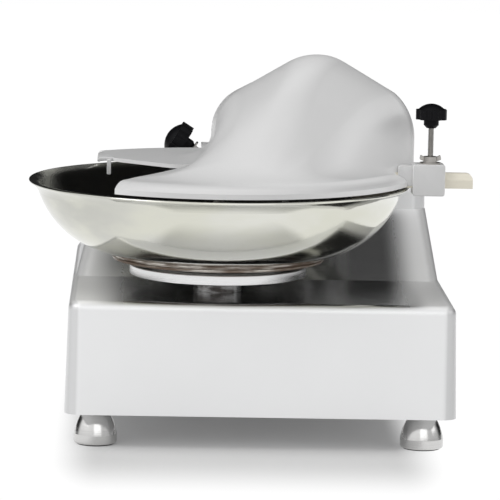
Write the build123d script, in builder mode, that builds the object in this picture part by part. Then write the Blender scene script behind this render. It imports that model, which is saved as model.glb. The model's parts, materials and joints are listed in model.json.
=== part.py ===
from build123d import *

import os
from math import atan, cos, pi, radians, sin, sqrt, tan

os.makedirs("parts", exist_ok=True)

# A bench-top meat bowl cutter, in millimetres.  X is to the right, Y to the back, Z up from the bench.
# Positions are measured from the bowl's axis and from the bench, and at() moves them to the part's
# frame, whose origin is the centre of the whole machine's footprint.

# ---- Bowl ---------------------------------------------------------------------------------------
BOWL_R = 200.0            # rim radius
RIM_Z = 269.0             # height of the rim
CHANNEL_R = 99.5          # radius of the circle that the cutting channel's centre follows
CHANNEL_Z = 287.6         # height of that centre
CHANNEL_IN_R = 92.5       # channel's inside radius
CHANNEL_OUT_R = 95.3      # channel's outside radius
POST_ANGLE = 216.4        # where the channel turns into the middle post from +X
LIP_ANGLE = 341.3         # where the channel turns into the flared rim
POST_TOP_Z = 236.0

# ---- Whole machine ------------------------------------------------------------------------------
BAR_REACH = 262.0         # right end of the scraper bar from the bowl's axis
REAR_REACH = 400.0        # back end of the cable gland from the bowl's axis
BOWL_X = (BOWL_R - BAR_REACH) / 2
BOWL_Y = (BOWL_R - REAR_REACH) / 2

# ---- Drive housing ------------------------------------------------------------------------------
WALL = 3.5
HOUSE_X = 45.0            # middle of the housing, to the right of the bowl's axis
HOUSE_Y = 143.0
HOUSE_W = 405.4
HOUSE_D = 498.0
HOUSE_Z0 = 36.0           # lower edge
DECK_Z = 153.5            # flat deck under the bowl
DRAFT = 1.5               # degrees on the side walls
CORNER_R = 16.0
DECK_EDGE_R = 9.0
RISER_FOOT_Y = 85.0       # where the sloping front leaves the deck
RISER_HEAD_Y = 200.0      # where it meets the rear block
RISER_HEAD_Z = 218.0
RISER_LEFT = (-150.5, -133.0)    # at the deck, at the head
RISER_RIGHT = (241.0, 234.5)
BLOCK_TOP_Z = 245.0
BLOCK_FRONT_Y = 203.0
BLOCK_BACK_Y = 386.0
PLATE_T = 3.0             # base plate

# ---- Feet ---------------------------------------------------------------------------------------
FOOT_XS = (-125.5, 214.4)
FOOT_YS = (-68.6, 355.0)
FOOT_R = 22.5
FOOT_NECK_R = 11.5

# ---- Turning table and spindle ------------------------------------------------------------------
SPINDLE_R = 10.0
RUN_FIT = 0.05            # radial clearance of a running shaft
BOSS_R = 25.2
BOSS_TOP_Z = 170.5
TABLE_R = 92.9
TABLE_Z = (171.7, 177.7)
RING_R = 110.7
RING_Z = (186.4, 192.2)
NECK_R = 70.0
PIN_CIRCLE_R = 75.0

# ---- Worm drive ---------------------------------------------------------------------------------
MODULE = 2.0
WHEEL_TEETH = 52
WHEEL_R = MODULE * WHEEL_TEETH / 2
WORM_R = 11.0
WORM_PITCH = pi * MODULE
WORM_TURNS = 5            # an odd number, so that a thread meets the wheel's gap midway
LEAD = atan(WORM_PITCH / (2 * pi * WORM_R))
DRIVE_X = WHEEL_R + WORM_R
DRIVE_Z = 98.0
DRIVE_R = 8.0             # motor and worm shaft
BELT_Y = (348.0, 362.0)   # both pulleys
MOTOR_PULLEY_R = 36.0
KNIFE_PULLEY_R = 24.0
BELT_W = 9.4
BELT_T = 6.0

# ---- Knife shaft --------------------------------------------------------------------------------
KNIFE_X = 98.5
KNIFE_Z = 288.5
KNIFE_R = 88.0            # swing of the knife tips
KNIFE_T = 3.5
KNIFE_YS = (-14.0, 0.0, 14.0)
HUB_R = 22.0
SLEEVE_R = 16.9
HEAD_Y = (208.0, 330.0)
HEAD_R = 43.0

# ---- Lid ----------------------------------------------------------------------------------------
LID_R = 197.0
LID_EDGE_Z = 271.8        # lower edge, just above the bowl's rim
LID_LIP_H = 5.2
LID_FLAT_Z = 285.0
LID_FLAT_R = 180.0
LID_T = 4.0
BELL_X = 97.5
BELL_TOP_Z = 406.0
HINGE_Y = 230.0
HINGE_Z = 300.0
HINGE_R = 6.0

# ---- Clamp block and scraper --------------------------------------------------------------------
BAR_Y = -45.0
BAR_Z = (270.5, 286.2)
BAR_T = 12.0
CLAMP_X = 217.5
BLOCK_X = (199.0, 232.5)
CLAMP_BLOCK_Z = (262.8, 295.5)
ROD_R = 3.1
KNOB_R = 16.2

# ---- Swing bolt ---------------------------------------------------------------------------------
LOCK_X = -5.0
LOCK_Y = 222.0
LOCK_Z = 268.0
LOCK_TILT = 57.3          # degrees from upright when it hangs free to the left

# ---- Controls on the right side -----------------------------------------------------------------
SWITCH_Y = 215.0
SWITCH_Z = 95.0
SIDE_X = HOUSE_X + HOUSE_W / 2 - (SWITCH_Z - HOUSE_Z0) * tan(radians(DRAFT))


def at(x, y, z):
    """A point given from the bowl's axis and the bench, in the part's frame."""
    return (BOWL_X + x, BOWL_Y + y, z)


def level(x, y, z):
    """A horizontal plane."""
    return Plane(origin=at(x, y, z))


def facing_front(x, y, z=0.0):
    """An upright plane seen from the front: local x is right, local y is up."""
    return Plane(origin=at(x, y, z), x_dir=(1, 0, 0), z_dir=(0, -1, 0))


def facing_right(x, y, z=0.0):
    """An upright plane seen from the right: local x is back, local y is up."""
    return Plane(origin=at(x, y, z), x_dir=(0, 1, 0), z_dir=(1, 0, 0))


def upright(x, y):
    return Axis(at(x, y, 0), (0, 0, 1))


def lengthwise(x, z):
    return Axis(at(x, 0, z), (0, 1, 0))


def outline(plane, *points):
    """A closed face with straight sides."""
    with BuildSketch(plane) as sketch:
        with BuildLine():
            Polyline(*points, close=True)
        make_face()
    return sketch.sketch


def ring_section(plane, inner, outer, start, end):
    return outline(plane, (inner, start), (outer, start), (outer, end), (inner, end))


def bearing_section(plane, inner, outer, start, end, swap=False):
    """A shielded ball bearing: two races with the shields set back between them."""
    race = (outer - inner) * 0.22
    inset = 0.6
    points = [
        (inner, start), (inner + race, start), (inner + race, start + inset),
        (outer - race, start + inset), (outer - race, start), (outer, start),
        (outer, end), (outer - race, end), (outer - race, end - inset),
        (inner + race, end - inset), (inner + race, end), (inner, end),
    ]
    if swap:
        points = [(along, radius) for radius, along in points]
    return outline(plane, *points)


def save(part, name):
    part.label = name
    export_step(part, f"parts/{name}.step")


MID_FRONT = facing_front(0, 0)
MID_AXIS = upright(0, 0)
KNIFE_SIDE = facing_right(KNIFE_X, 0, KNIFE_Z)
KNIFE_AXIS = lengthwise(KNIFE_X, KNIFE_Z)
DRIVE_SIDE = facing_right(DRIVE_X, 0, DRIVE_Z)
DRIVE_AXIS = lengthwise(DRIVE_X, DRIVE_Z)

# ================================ housing ========================================================


def riser_sides(z, wall):
    """Left, right and front of the riser at a height, inside a wall of the given thickness."""
    part_way = (z - DECK_Z) / (RISER_HEAD_Z - DECK_Z)
    left = RISER_LEFT[0] + part_way * (RISER_LEFT[1] - RISER_LEFT[0]) + wall
    right = RISER_RIGHT[0] + part_way * (RISER_RIGHT[1] - RISER_RIGHT[0]) - wall
    front = RISER_FOOT_Y + part_way * (RISER_HEAD_Y - RISER_FOOT_Y) + 2 * wall
    return left, right, front


def housing_form(wall=0.0):
    """The housing's outer form, or with a wall the hollow inside it."""
    back = BLOCK_BACK_Y - wall
    with BuildPart() as form:
        with BuildSketch(level(HOUSE_X, HOUSE_Y, HOUSE_Z0)):
            RectangleRounded(HOUSE_W - 2 * wall, HOUSE_D - 2 * wall, CORNER_R - wall)
        extrude(amount=DECK_Z - wall - HOUSE_Z0, taper=DRAFT)
        deck_rim = form.faces().sort_by(Axis.Z)[-1].edges()
        fillet(deck_rim, DECK_EDGE_R - wall)
        for z in (DECK_Z - 14.0, RISER_HEAD_Z):
            left, right, front = riser_sides(z, wall)
            with BuildSketch(level((left + right) / 2, (front + back) / 2, z)):
                RectangleRounded(right - left, back - front, CORNER_R - wall)
        loft()
        left, right, front = riser_sides(RISER_HEAD_Z, wall)
        front = BLOCK_FRONT_Y + wall
        with BuildSketch(level((left + right) / 2, (front + back) / 2, RISER_HEAD_Z - 6.0)):
            RectangleRounded(right - left, back - front, CORNER_R - wall)
        extrude(amount=BLOCK_TOP_Z - wall - RISER_HEAD_Z + 6.0, taper=DRAFT)
        block_rim = form.faces().sort_by(Axis.Z)[-1].edges()
        fillet(block_rim, DECK_EDGE_R - wall)
    return form.part


VENT_X, VENT_Z, VENT_W, VENT_H = HOUSE_X, 104.0, 230.0, 84.0
GLAND_X, GLAND_Z, GLAND_R = -105.0, 70.0, 6.0

with BuildPart() as main_housing:
    add(housing_form())
    add(housing_form(WALL), mode=Mode.SUBTRACT)
    with BuildSketch(level(0, 0, DECK_Z - WALL - 1)):
        Circle(BOSS_R + 0.3)
    extrude(amount=WALL + 2, mode=Mode.SUBTRACT)
    with BuildSketch(level(KNIFE_X, (BELT_Y[0] + BELT_Y[1]) / 2, BLOCK_TOP_Z - WALL - 1)):
        RectangleRounded(80, 30, 6)
    extrude(amount=WALL + 2, mode=Mode.SUBTRACT)
    with BuildSketch(facing_right(SIDE_X - 12, SWITCH_Y, SWITCH_Z)):
        RectangleRounded(70, 30, 4)
    extrude(amount=20, mode=Mode.SUBTRACT)
    with BuildSketch(facing_front(VENT_X, BLOCK_BACK_Y - 10, VENT_Z)):
        RectangleRounded(VENT_W - 24, VENT_H - 24, 6)
    extrude(amount=-25, mode=Mode.SUBTRACT)
    with BuildSketch(facing_front(GLAND_X, BLOCK_BACK_Y - 10, GLAND_Z)):
        Circle(GLAND_R + 0.2)
    extrude(amount=-25, mode=Mode.SUBTRACT)
save(main_housing.part, "main_housing")

PLATE_W = HOUSE_W - 2 * WALL - 1.0
PLATE_D = HOUSE_D - 2 * WALL - 1.0
with BuildPart() as base_plate:
    with BuildSketch(level(HOUSE_X, HOUSE_Y, HOUSE_Z0)):
        RectangleRounded(PLATE_W, PLATE_D, CORNER_R - WALL)
        with GridLocations(26, 60, 5, 2):
            SlotOverall(40, 7, rotation=90, mode=Mode.SUBTRACT)
        with Locations(*[(x - HOUSE_X, y - HOUSE_Y) for x in FOOT_XS for y in FOOT_YS]):
            Circle(4.1, mode=Mode.SUBTRACT)
    extrude(amount=PLATE_T, taper=DRAFT)
save(base_plate.part, "base_plate")

with BuildPart() as one_foot:
    with BuildSketch(MID_FRONT):
        with BuildLine():
            Polyline((FOOT_NECK_R, HOUSE_Z0), (4, HOUSE_Z0), (4, HOUSE_Z0 + 12), (0, HOUSE_Z0 + 12),
                     (0, 5), (FOOT_R - 3, 5), (FOOT_R - 3, 1.5), (FOOT_R - 0.6, 1.5), (FOOT_R, 3),
                     (FOOT_R, 11))
            ThreePointArc((FOOT_R, 11), (FOOT_R - 3.6, 23.5), (FOOT_NECK_R, HOUSE_Z0))
        make_face()
    revolve(axis=MID_AXIS)

FOOT_PLACES = [(x, y, 0) for x in FOOT_XS for y in FOOT_YS]
with BuildPart() as feet:
    with Locations(*FOOT_PLACES):
        add(one_foot.part)
save(feet.part, "feet")

with BuildPart() as foot_pads:
    with Locations(*[at(x, y, 0) for x, y, z in FOOT_PLACES]):
        Cylinder(FOOT_R - 3.2, 4.8, align=(Align.CENTER, Align.CENTER, Align.MIN))
save(foot_pads.part, "foot_pads")

# ================================ spindle, table and bowl ========================================

BEARING_R = 21.0
UPPER_BEARING = (156.0, 168.0)
LOWER_BEARING = (119.0, 131.0)
with BuildPart() as spindle_housing:
    revolve(
        outline(
            MID_FRONT, (BEARING_R, 119), (30, 119), (30, 142), (46, 142), (46, DECK_Z - WALL),
            (BOSS_R, DECK_Z - WALL), (BOSS_R, BOSS_TOP_Z - 1), (BOSS_R - 1, BOSS_TOP_Z),
            (16, BOSS_TOP_Z), (16, 168), (BEARING_R, 168), (BEARING_R, 156), (14, 156), (14, 131),
            (BEARING_R, 131),
        ),
        axis=MID_AXIS,
    )
save(spindle_housing.part, "spindle_housing")

with BuildPart() as spindle_bearings:
    for start, end in (UPPER_BEARING, LOWER_BEARING):
        revolve(bearing_section(MID_FRONT, SPINDLE_R + RUN_FIT, BEARING_R, start, end), axis=MID_AXIS)
save(spindle_bearings.part, "spindle_bearings")

with BuildPart() as bowl_spindle:
    revolve(
        outline(
            MID_FRONT, (0, 84), (8, 84), (SPINDLE_R, 86), (SPINDLE_R, 228), (6, 230), (6, 245),
            (5, 246), (0, 246),
        ),
        axis=MID_AXIS,
    )
save(bowl_spindle.part, "bowl_spindle")

with BuildPart() as turntable:
    revolve(
        outline(
            MID_FRONT, (SPINDLE_R, TABLE_Z[0]), (TABLE_R - 1, TABLE_Z[0]), (TABLE_R, TABLE_Z[0] + 1),
            (TABLE_R, TABLE_Z[1] - 0.8), (TABLE_R - 0.8, TABLE_Z[1]), (NECK_R, TABLE_Z[1]),
            (NECK_R, RING_Z[0]), (27, RING_Z[0]), (22, 190), (15, 226), (SPINDLE_R, 226),
        ),
        axis=MID_AXIS,
    )
save(turntable.part, "turntable")

with BuildPart() as bowl_ring:
    revolve(
        outline(
            MID_FRONT, (27.2, RING_Z[0]), (RING_R - 1.5, RING_Z[0]), (RING_R, RING_Z[0] + 1.2),
            (RING_R, RING_Z[1] - 1.6), (RING_R - 1.2, RING_Z[1] - 0.6), (RING_R - 2.2, RING_Z[1] - 1.2),
            (RING_R - 3.4, RING_Z[1]), (RING_R - 5.4, RING_Z[1]), (RING_R - 6.2, RING_Z[1] - 0.9),
            (RING_R - 7.0, RING_Z[1]), (27.2, RING_Z[1]),
        ),
        axis=MID_AXIS,
    )
    with BuildSketch(level(0, 0, RING_Z[0])):
        with PolarLocations(PIN_CIRCLE_R, 3):
            Circle(4.1)
    extrude(amount=RING_Z[1] - RING_Z[0], mode=Mode.SUBTRACT)
save(bowl_ring.part, "bowl_ring")

PIN_TOP_Z = CHANNEL_Z - sqrt(CHANNEL_OUT_R**2 - (CHANNEL_R - PIN_CIRCLE_R - 4) ** 2)
with BuildPart() as drive_pins:
    with BuildSketch(level(0, 0, RING_Z[0] + 0.3)):
        with PolarLocations(PIN_CIRCLE_R, 3):
            Circle(4)
    extrude(amount=PIN_TOP_Z - RING_Z[0] - 0.4)
save(drive_pins.part, "drive_pins")


def channel_point(radius, angle):
    return (CHANNEL_R + radius * cos(radians(angle)), CHANNEL_Z + radius * sin(radians(angle)))


def bowl_section():
    """Half section of the bowl: middle post, round channel and flared rim."""
    sweep_in = LIP_ANGLE - POST_ANGLE
    post_in = channel_point(CHANNEL_IN_R, POST_ANGLE)
    lip_in = channel_point(CHANNEL_IN_R, LIP_ANGLE)
    post_out = channel_point(CHANNEL_OUT_R, POST_ANGLE + 0.8)
    lip_out = channel_point(CHANNEL_OUT_R, LIP_ANGLE)
    with BuildSketch(MID_FRONT) as sketch:
        with BuildLine():
            Polyline((6.2, POST_TOP_Z - 3), (6.2, POST_TOP_Z), (19, POST_TOP_Z), post_in)
            CenterArc((CHANNEL_R, CHANNEL_Z), CHANNEL_IN_R, POST_ANGLE, sweep_in)
            Line(lip_in, (189.4, RIM_Z - 3.4))
            ThreePointArc((189.4, RIM_Z - 3.4), (192.6, RIM_Z - 1.0), (BOWL_R - 1.6, RIM_Z))
            ThreePointArc((BOWL_R - 1.6, RIM_Z), (BOWL_R, RIM_Z - 1.2), (BOWL_R - 1.6, RIM_Z - 2.6))
            ThreePointArc((BOWL_R - 1.6, RIM_Z - 2.6), (194.4, RIM_Z - 5.6), lip_out)
            CenterArc((CHANNEL_R, CHANNEL_Z), CHANNEL_OUT_R, LIP_ANGLE, 0.8 - sweep_in)
            Polyline(post_out, (20, POST_TOP_Z - 3), (6.2, POST_TOP_Z - 3))
        make_face()
    return sketch.sketch


with BuildPart() as bowl:
    revolve(bowl_section(), axis=MID_AXIS)
save(bowl.part, "bowl")

with BuildPart() as bowl_nut:
    with BuildSketch(level(0, 0, POST_TOP_Z)):
        RegularPolygon(11, 6)
    extrude(amount=7)
    revolve(
        outline(
            MID_FRONT, (0, POST_TOP_Z + 6), (8.4, POST_TOP_Z + 6), (7.6, POST_TOP_Z + 9.5),
            (4.6, POST_TOP_Z + 12), (0, POST_TOP_Z + 12.8),
        ),
        axis=MID_AXIS,
    )
    with BuildSketch(level(0, 0, POST_TOP_Z)):
        Circle(6)
    extrude(amount=10.1, mode=Mode.SUBTRACT)
save(bowl_nut.part, "bowl_nut")

# ================================ worm drive =====================================================

TOOTH_ADD = 1.8
TOOTH_DED = 2.4
FLANK = tan(radians(20))
GAP_W = WORM_PITCH / 2 + 0.25
THREAD_W = WORM_PITCH / 2 - 0.25

with BuildPart() as tooth_gap:
    tooth_lean = Plane(origin=(0, 0, 0), x_dir=(1, 0, 0), z_dir=(0, sin(LEAD), cos(LEAD)))
    with BuildSketch(tooth_lean.offset(-9)):
        with BuildLine():
            Polyline(
                (-TOOTH_DED, GAP_W / 2 - TOOTH_DED * FLANK),
                (TOOTH_ADD + 1, GAP_W / 2 + (TOOTH_ADD + 1) * FLANK),
                (TOOTH_ADD + 1, -GAP_W / 2 - (TOOTH_ADD + 1) * FLANK),
                (-TOOTH_DED, -GAP_W / 2 + TOOTH_DED * FLANK),
                close=True,
            )
        make_face()
    extrude(amount=18)

with BuildPart(level(0, 0, DRIVE_Z)) as worm_wheel:
    Cylinder(WHEEL_R + TOOTH_ADD, 14)
    Cylinder(18, 22)
    Cylinder(SPINDLE_R, 30, mode=Mode.SUBTRACT)
    with PolarLocations(WHEEL_R, WHEEL_TEETH):
        add(tooth_gap.part, mode=Mode.SUBTRACT)
    with BuildSketch(level(0, 0, DRIVE_Z - 7)):
        with PolarLocations(33, 6):
            Circle(8)
    extrude(amount=14, mode=Mode.SUBTRACT)
save(worm_wheel.part, "worm_wheel")

WORM_ROOT_R = WORM_R - TOOTH_DED
WORM_START = at(DRIVE_X, -(WORM_TURNS / 2 + 0.25) * WORM_PITCH, DRIVE_Z)
with BuildPart() as worm_shaft:
    revolve(
        outline(
            DRIVE_SIDE, (-66, 0), (-66, DRIVE_R), (-21, DRIVE_R), (-20, WORM_ROOT_R), (20, WORM_ROOT_R),
            (21, DRIVE_R), (110, DRIVE_R), (110, 0),
        ),
        axis=DRIVE_AXIS,
    )
    with BuildLine() as worm_path:
        Helix(WORM_PITCH, WORM_TURNS * WORM_PITCH, WORM_ROOT_R, center=WORM_START, direction=(0, 1, 0))
    thread_start = worm_path.line @ 0
    outward = thread_start - Vector(*WORM_START)
    with BuildSketch(Plane(origin=thread_start, x_dir=outward, z_dir=worm_path.line % 0)):
        with BuildLine():
            Polyline(
                (-0.5, THREAD_W / 2 + (TOOTH_DED + 0.5) * FLANK),
                (TOOTH_ADD + TOOTH_DED, THREAD_W / 2 - TOOTH_ADD * FLANK),
                (TOOTH_ADD + TOOTH_DED, -THREAD_W / 2 + TOOTH_ADD * FLANK),
                (-0.5, -THREAD_W / 2 - (TOOTH_DED + 0.5) * FLANK),
                close=True,
            )
        make_face()
    sweep(path=worm_path.line, is_frenet=True)
save(worm_shaft.part, "worm_shaft")

DRIVE_BEARING_R = 16.0
DRIVE_BEARINGS = ((-66.0, -56.0), (56.0, 66.0), (139.0, 149.0), (301.0, 311.0))
with BuildPart() as drive_bearings:
    for start, end in DRIVE_BEARINGS:
        revolve(
            bearing_section(DRIVE_SIDE, DRIVE_R + RUN_FIT, DRIVE_BEARING_R, start, end, swap=True),
            axis=DRIVE_AXIS,
        )
save(drive_bearings.part, "drive_bearings")

BOX_X = (-62.0, 88.0)
BOX_Y = 72.0
BOX_Z = (77.0, 119.0)
BOX_MID_X = sum(BOX_X) / 2
BOX_W = BOX_X[1] - BOX_X[0]
with BuildPart() as gearbox:
    with BuildSketch(level(BOX_MID_X, 0, BOX_Z[0])):
        RectangleRounded(BOX_W, 2 * BOX_Y, 10)
    extrude(amount=BOX_Z[1] - BOX_Z[0])
    with BuildSketch(level(BOX_MID_X, 0, BOX_Z[0])):
        RectangleRounded(BOX_W - 10, 2 * BOX_Y - 10, 5)
    extrude(amount=BOX_Z[1] - BOX_Z[0] - 5, mode=Mode.SUBTRACT)
    for boss_y in (-BOX_Y, BOX_Y - 18):
        with BuildSketch(facing_front(DRIVE_X, boss_y, DRIVE_Z)):
            Circle(20)
        extrude(amount=-18)
    with BuildSketch(facing_front(DRIVE_X, -BOX_Y + 6, DRIVE_Z)):
        Circle(DRIVE_BEARING_R)
    extrude(amount=-2 * BOX_Y + 12, mode=Mode.SUBTRACT)
    with BuildSketch(facing_front(DRIVE_X, BOX_Y - 8, DRIVE_Z)):
        Circle(DRIVE_R + 1)
    extrude(amount=-10, mode=Mode.SUBTRACT)
    with BuildSketch(level(0, 0, BOX_Z[1] - 6)):
        Circle(16)
    extrude(amount=8, mode=Mode.SUBTRACT)
save(gearbox.part, "gearbox")

with BuildPart() as gearbox_lid:
    with BuildSketch(level(BOX_MID_X, 0, BOX_Z[0])):
        RectangleRounded(BOX_W, 2 * BOX_Y, 10)
    extrude(amount=-4)
save(gearbox_lid.part, "gearbox_lid")

with BuildPart() as shaft_coupling:
    revolve(
        outline(
            DRIVE_SIDE, (96, DRIVE_R), (96, 15), (98, 17), (109, 17), (110, 15.5), (112, 15.5),
            (113, 17), (124, 17), (126, 15), (126, DRIVE_R),
        ),
        axis=DRIVE_AXIS,
    )
save(shaft_coupling.part, "shaft_coupling")

MOTOR_R = 50.0
MOTOR_Y = (150.0, 300.0)
with BuildPart() as motor_body:
    with BuildSketch(facing_front(DRIVE_X, MOTOR_Y[0], DRIVE_Z)):
        Circle(MOTOR_R)
        with PolarLocations(MOTOR_R + 1.5, 20):
            Rectangle(6, 2.4)
        Circle(43, mode=Mode.SUBTRACT)
    extrude(amount=MOTOR_Y[0] - MOTOR_Y[1])
save(motor_body.part, "motor_body")

with BuildPart() as motor_end_bells:
    for outer_end, inner_end in ((137.0, MOTOR_Y[0]), (313.0, MOTOR_Y[1])):
        seat = outer_end + (2 if inner_end > outer_end else -2)
        rim = outer_end + (6 if inner_end > outer_end else -6)
        revolve(
            outline(
                DRIVE_SIDE, (outer_end, DRIVE_R + 1), (outer_end, 30), (rim, MOTOR_R),
                (inner_end, MOTOR_R), (inner_end, 20), (seat, 20), (seat, DRIVE_R + 1),
            ),
            axis=DRIVE_AXIS,
        )
    with BuildSketch(facing_front(DRIVE_X, MOTOR_Y[0], DRIVE_Z)):
        Circle(20.5)
        Circle(DRIVE_BEARING_R, mode=Mode.SUBTRACT)
    extrude(amount=11)
    with BuildSketch(facing_front(DRIVE_X, MOTOR_Y[1], DRIVE_Z)):
        Circle(20.5)
        Circle(DRIVE_BEARING_R, mode=Mode.SUBTRACT)
    extrude(amount=-11)
save(motor_end_bells.part, "motor_end_bells")

with BuildPart() as motor_rotor:
    revolve(
        outline(
            DRIVE_SIDE, (111, 0), (111, DRIVE_R), (165, DRIVE_R), (165, 42), (285, 42), (285, DRIVE_R),
            (370, DRIVE_R), (370, 0),
        ),
        axis=DRIVE_AXIS,
    )
save(motor_rotor.part, "motor_rotor")

with BuildPart() as motor_fan:
    with BuildSketch(facing_front(DRIVE_X, 320, DRIVE_Z)):
        Circle(13)
        with PolarLocations(28, 9):
            Rectangle(34, 2.2)
        Circle(DRIVE_R, mode=Mode.SUBTRACT)
    extrude(amount=-14)
save(motor_fan.part, "motor_fan")

with BuildPart() as motor_mount:
    with Locations(*[at(DRIVE_X, y, HOUSE_Z0 + PLATE_T) for y in (180, 270)]):
        Box(96, 22, 36, align=(Align.CENTER, Align.CENTER, Align.MIN))
    with BuildSketch(facing_front(DRIVE_X, 160, DRIVE_Z)):
        Circle(MOTOR_R + 4.6)
    extrude(amount=-130, mode=Mode.SUBTRACT)
save(motor_mount.part, "motor_mount")

with BuildPart() as run_capacitor:
    with Locations(at(-70, 250, HOUSE_Z0 + PLATE_T + 24)):
        Cylinder(21, 76, rotation=(0, 90, 0))
    fillet(run_capacitor.edges().filter_by(GeomType.CIRCLE), 2)
    with Locations(at(-70, 250, HOUSE_Z0 + PLATE_T)):
        Box(30, 34, 8, align=(Align.CENTER, Align.CENTER, Align.MIN))
save(run_capacitor.part, "run_capacitor")


def pulley_section(plane, radius):
    """A grooved pulley with a hub, drawn along its shaft."""
    side_a, side_b = BELT_Y
    groove = (side_b - side_a - BELT_W) / 2 - 0.4
    floor = radius - BELT_T - 0.6
    return outline(
        plane, (side_a, 10), (side_a, radius), (side_a + groove, radius), (side_a + groove, floor),
        (side_b - groove, floor), (side_b - groove, radius), (side_b, radius), (side_b, 10),
    )


with BuildPart() as motor_pulley:
    revolve(pulley_section(DRIVE_SIDE, MOTOR_PULLEY_R), axis=DRIVE_AXIS)
    revolve(outline(DRIVE_SIDE, (338, DRIVE_R), (338, 16), (362, 16), (362, DRIVE_R)), axis=DRIVE_AXIS)
save(motor_pulley.part, "motor_pulley")

with BuildPart() as knife_pulley:
    revolve(pulley_section(KNIFE_SIDE, KNIFE_PULLEY_R), axis=KNIFE_AXIS)
save(knife_pulley.part, "knife_pulley")

BELT_MID = sum(BELT_Y) / 2


def belt_loop(inset):
    """The area inside the belt's outside, or inside its inside when inset is its thickness."""
    with BuildSketch(facing_front(0, BELT_MID - BELT_W / 2)) as loop:
        with BuildLine():
            CenterArc((DRIVE_X, DRIVE_Z), MOTOR_PULLEY_R - inset, 0, 360)
            CenterArc((KNIFE_X, KNIFE_Z), KNIFE_PULLEY_R - inset, 0, 360)
        make_hull()
    return loop.sketch


with BuildPart() as drive_belt:
    extrude(belt_loop(0.2), amount=-BELT_W)
    extrude(belt_loop(BELT_T), amount=-BELT_W, mode=Mode.SUBTRACT)
save(drive_belt.part, "drive_belt")

# ================================ knife shaft and head ===========================================

NOSE_Y = (34.0, 70.0)
NOSE_R = 25.0
FRONT_BEARING = (42.0, 54.0)
REAR_BEARING = (312.0, 326.0)
with BuildPart() as knife_sleeve:
    revolve(
        outline(
            KNIFE_SIDE, (NOSE_Y[0], 16), (NOSE_Y[0], NOSE_R - 3), (NOSE_Y[0] + 4, NOSE_R),
            (NOSE_Y[1] - 4, NOSE_R), (NOSE_Y[1] + 10, SLEEVE_R), (196, SLEEVE_R), (196, 30), (HEAD_Y[0], 30),
            (HEAD_Y[0], 12), (FRONT_BEARING[1], 12), (FRONT_BEARING[1], BEARING_R),
            (FRONT_BEARING[0], BEARING_R), (FRONT_BEARING[0], 16),
        ),
        axis=KNIFE_AXIS,
    )
save(knife_sleeve.part, "knife_sleeve")

with BuildPart() as knife_bearings:
    for start, end in (FRONT_BEARING, REAR_BEARING):
        revolve(
            bearing_section(KNIFE_SIDE, SPINDLE_R + RUN_FIT, BEARING_R, start, end, swap=True),
            axis=KNIFE_AXIS,
        )
save(knife_bearings.part, "knife_bearings")

with BuildPart() as shaft_seals:
    revolve(ring_section(MID_FRONT, SPINDLE_R + RUN_FIT, 16, 168, BOSS_TOP_Z - 0.5), axis=MID_AXIS)
    revolve(
        outline(KNIFE_SIDE, (35, 10.05), (35, 16), (42, 16), (42, 10.05)),
        axis=KNIFE_AXIS,
    )
save(shaft_seals.part, "shaft_seals")

with BuildPart() as knife_head:
    with BuildSketch(facing_front(KNIFE_X, HEAD_Y[0], BLOCK_TOP_Z)):
        with Locations((0, KNIFE_Z - BLOCK_TOP_Z)):
            Circle(HEAD_R)
        with Locations((0, (KNIFE_Z - BLOCK_TOP_Z) / 2)):
            Rectangle(2 * HEAD_R, KNIFE_Z - BLOCK_TOP_Z)
    extrude(amount=HEAD_Y[0] - HEAD_Y[1])
    fillet(knife_head.faces().sort_by(Axis.Y)[0].edges().sort_by(Axis.Z)[1:], 5)
    with BuildSketch(level(KNIFE_X, sum(HEAD_Y) / 2, BLOCK_TOP_Z)):
        RectangleRounded(2 * (HEAD_R + 14), HEAD_Y[1] - HEAD_Y[0], 8)
    extrude(amount=9)
    with BuildSketch(facing_front(KNIFE_X, HEAD_Y[0], KNIFE_Z)):
        Circle(14)
    extrude(amount=HEAD_Y[0] - HEAD_Y[1], mode=Mode.SUBTRACT)
    with BuildSketch(facing_front(KNIFE_X, REAR_BEARING[0], KNIFE_Z)):
        Circle(BEARING_R)
    extrude(amount=REAR_BEARING[0] - HEAD_Y[1], mode=Mode.SUBTRACT)
    with BuildSketch(facing_right(KNIFE_X - HEAD_R, HINGE_Y, HINGE_Z)):
        Circle(HINGE_R)
    extrude(amount=2 * HEAD_R, mode=Mode.SUBTRACT)
save(knife_head.part, "knife_head")

with BuildPart() as belt_hood:
    for grow, mode in ((0.0, Mode.ADD), (-2.5, Mode.SUBTRACT)):
        with BuildSketch(facing_front(KNIFE_X, HEAD_Y[1] + 0.3, BLOCK_TOP_Z)):
            with Locations((0, KNIFE_Z - BLOCK_TOP_Z)):
                Circle(HEAD_R + grow)
            with Locations((0, (KNIFE_Z - BLOCK_TOP_Z) / 2)):
                Rectangle(2 * (HEAD_R + grow), KNIFE_Z - BLOCK_TOP_Z)
        extrude(amount=-50 - grow, mode=mode)
        if mode == Mode.ADD:
            fillet(belt_hood.faces().sort_by(Axis.Y)[-1].edges().sort_by(Axis.Z)[1:], 8)
    with BuildSketch(level(KNIFE_X, 352, BLOCK_TOP_Z)):
        with Locations((HEAD_R + 8, 0), (-HEAD_R - 8, 0)):
            Rectangle(18, 40)
    extrude(amount=2.5)
save(belt_hood.part, "belt_hood")

NUT_BACK_Y = KNIFE_YS[0] - KNIFE_T / 2
NUT_STEP_Y = NUT_BACK_Y - 6
with BuildPart() as knife_shaft:
    revolve(
        outline(
            KNIFE_SIDE, (-40, 0), (-40, 7), (-38, 8), (NUT_STEP_Y, 8), (NUT_STEP_Y, SPINDLE_R), (20, SPINDLE_R),
            (20, HUB_R), (28, HUB_R), (30, 14), (30, SPINDLE_R), (370, SPINDLE_R), (370, 0),
        ),
        axis=KNIFE_AXIS,
    )
save(knife_shaft.part, "knife_shaft")


def on_circle(radius, angle):
    return (radius * cos(radians(angle)), radius * sin(radians(angle)))


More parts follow.
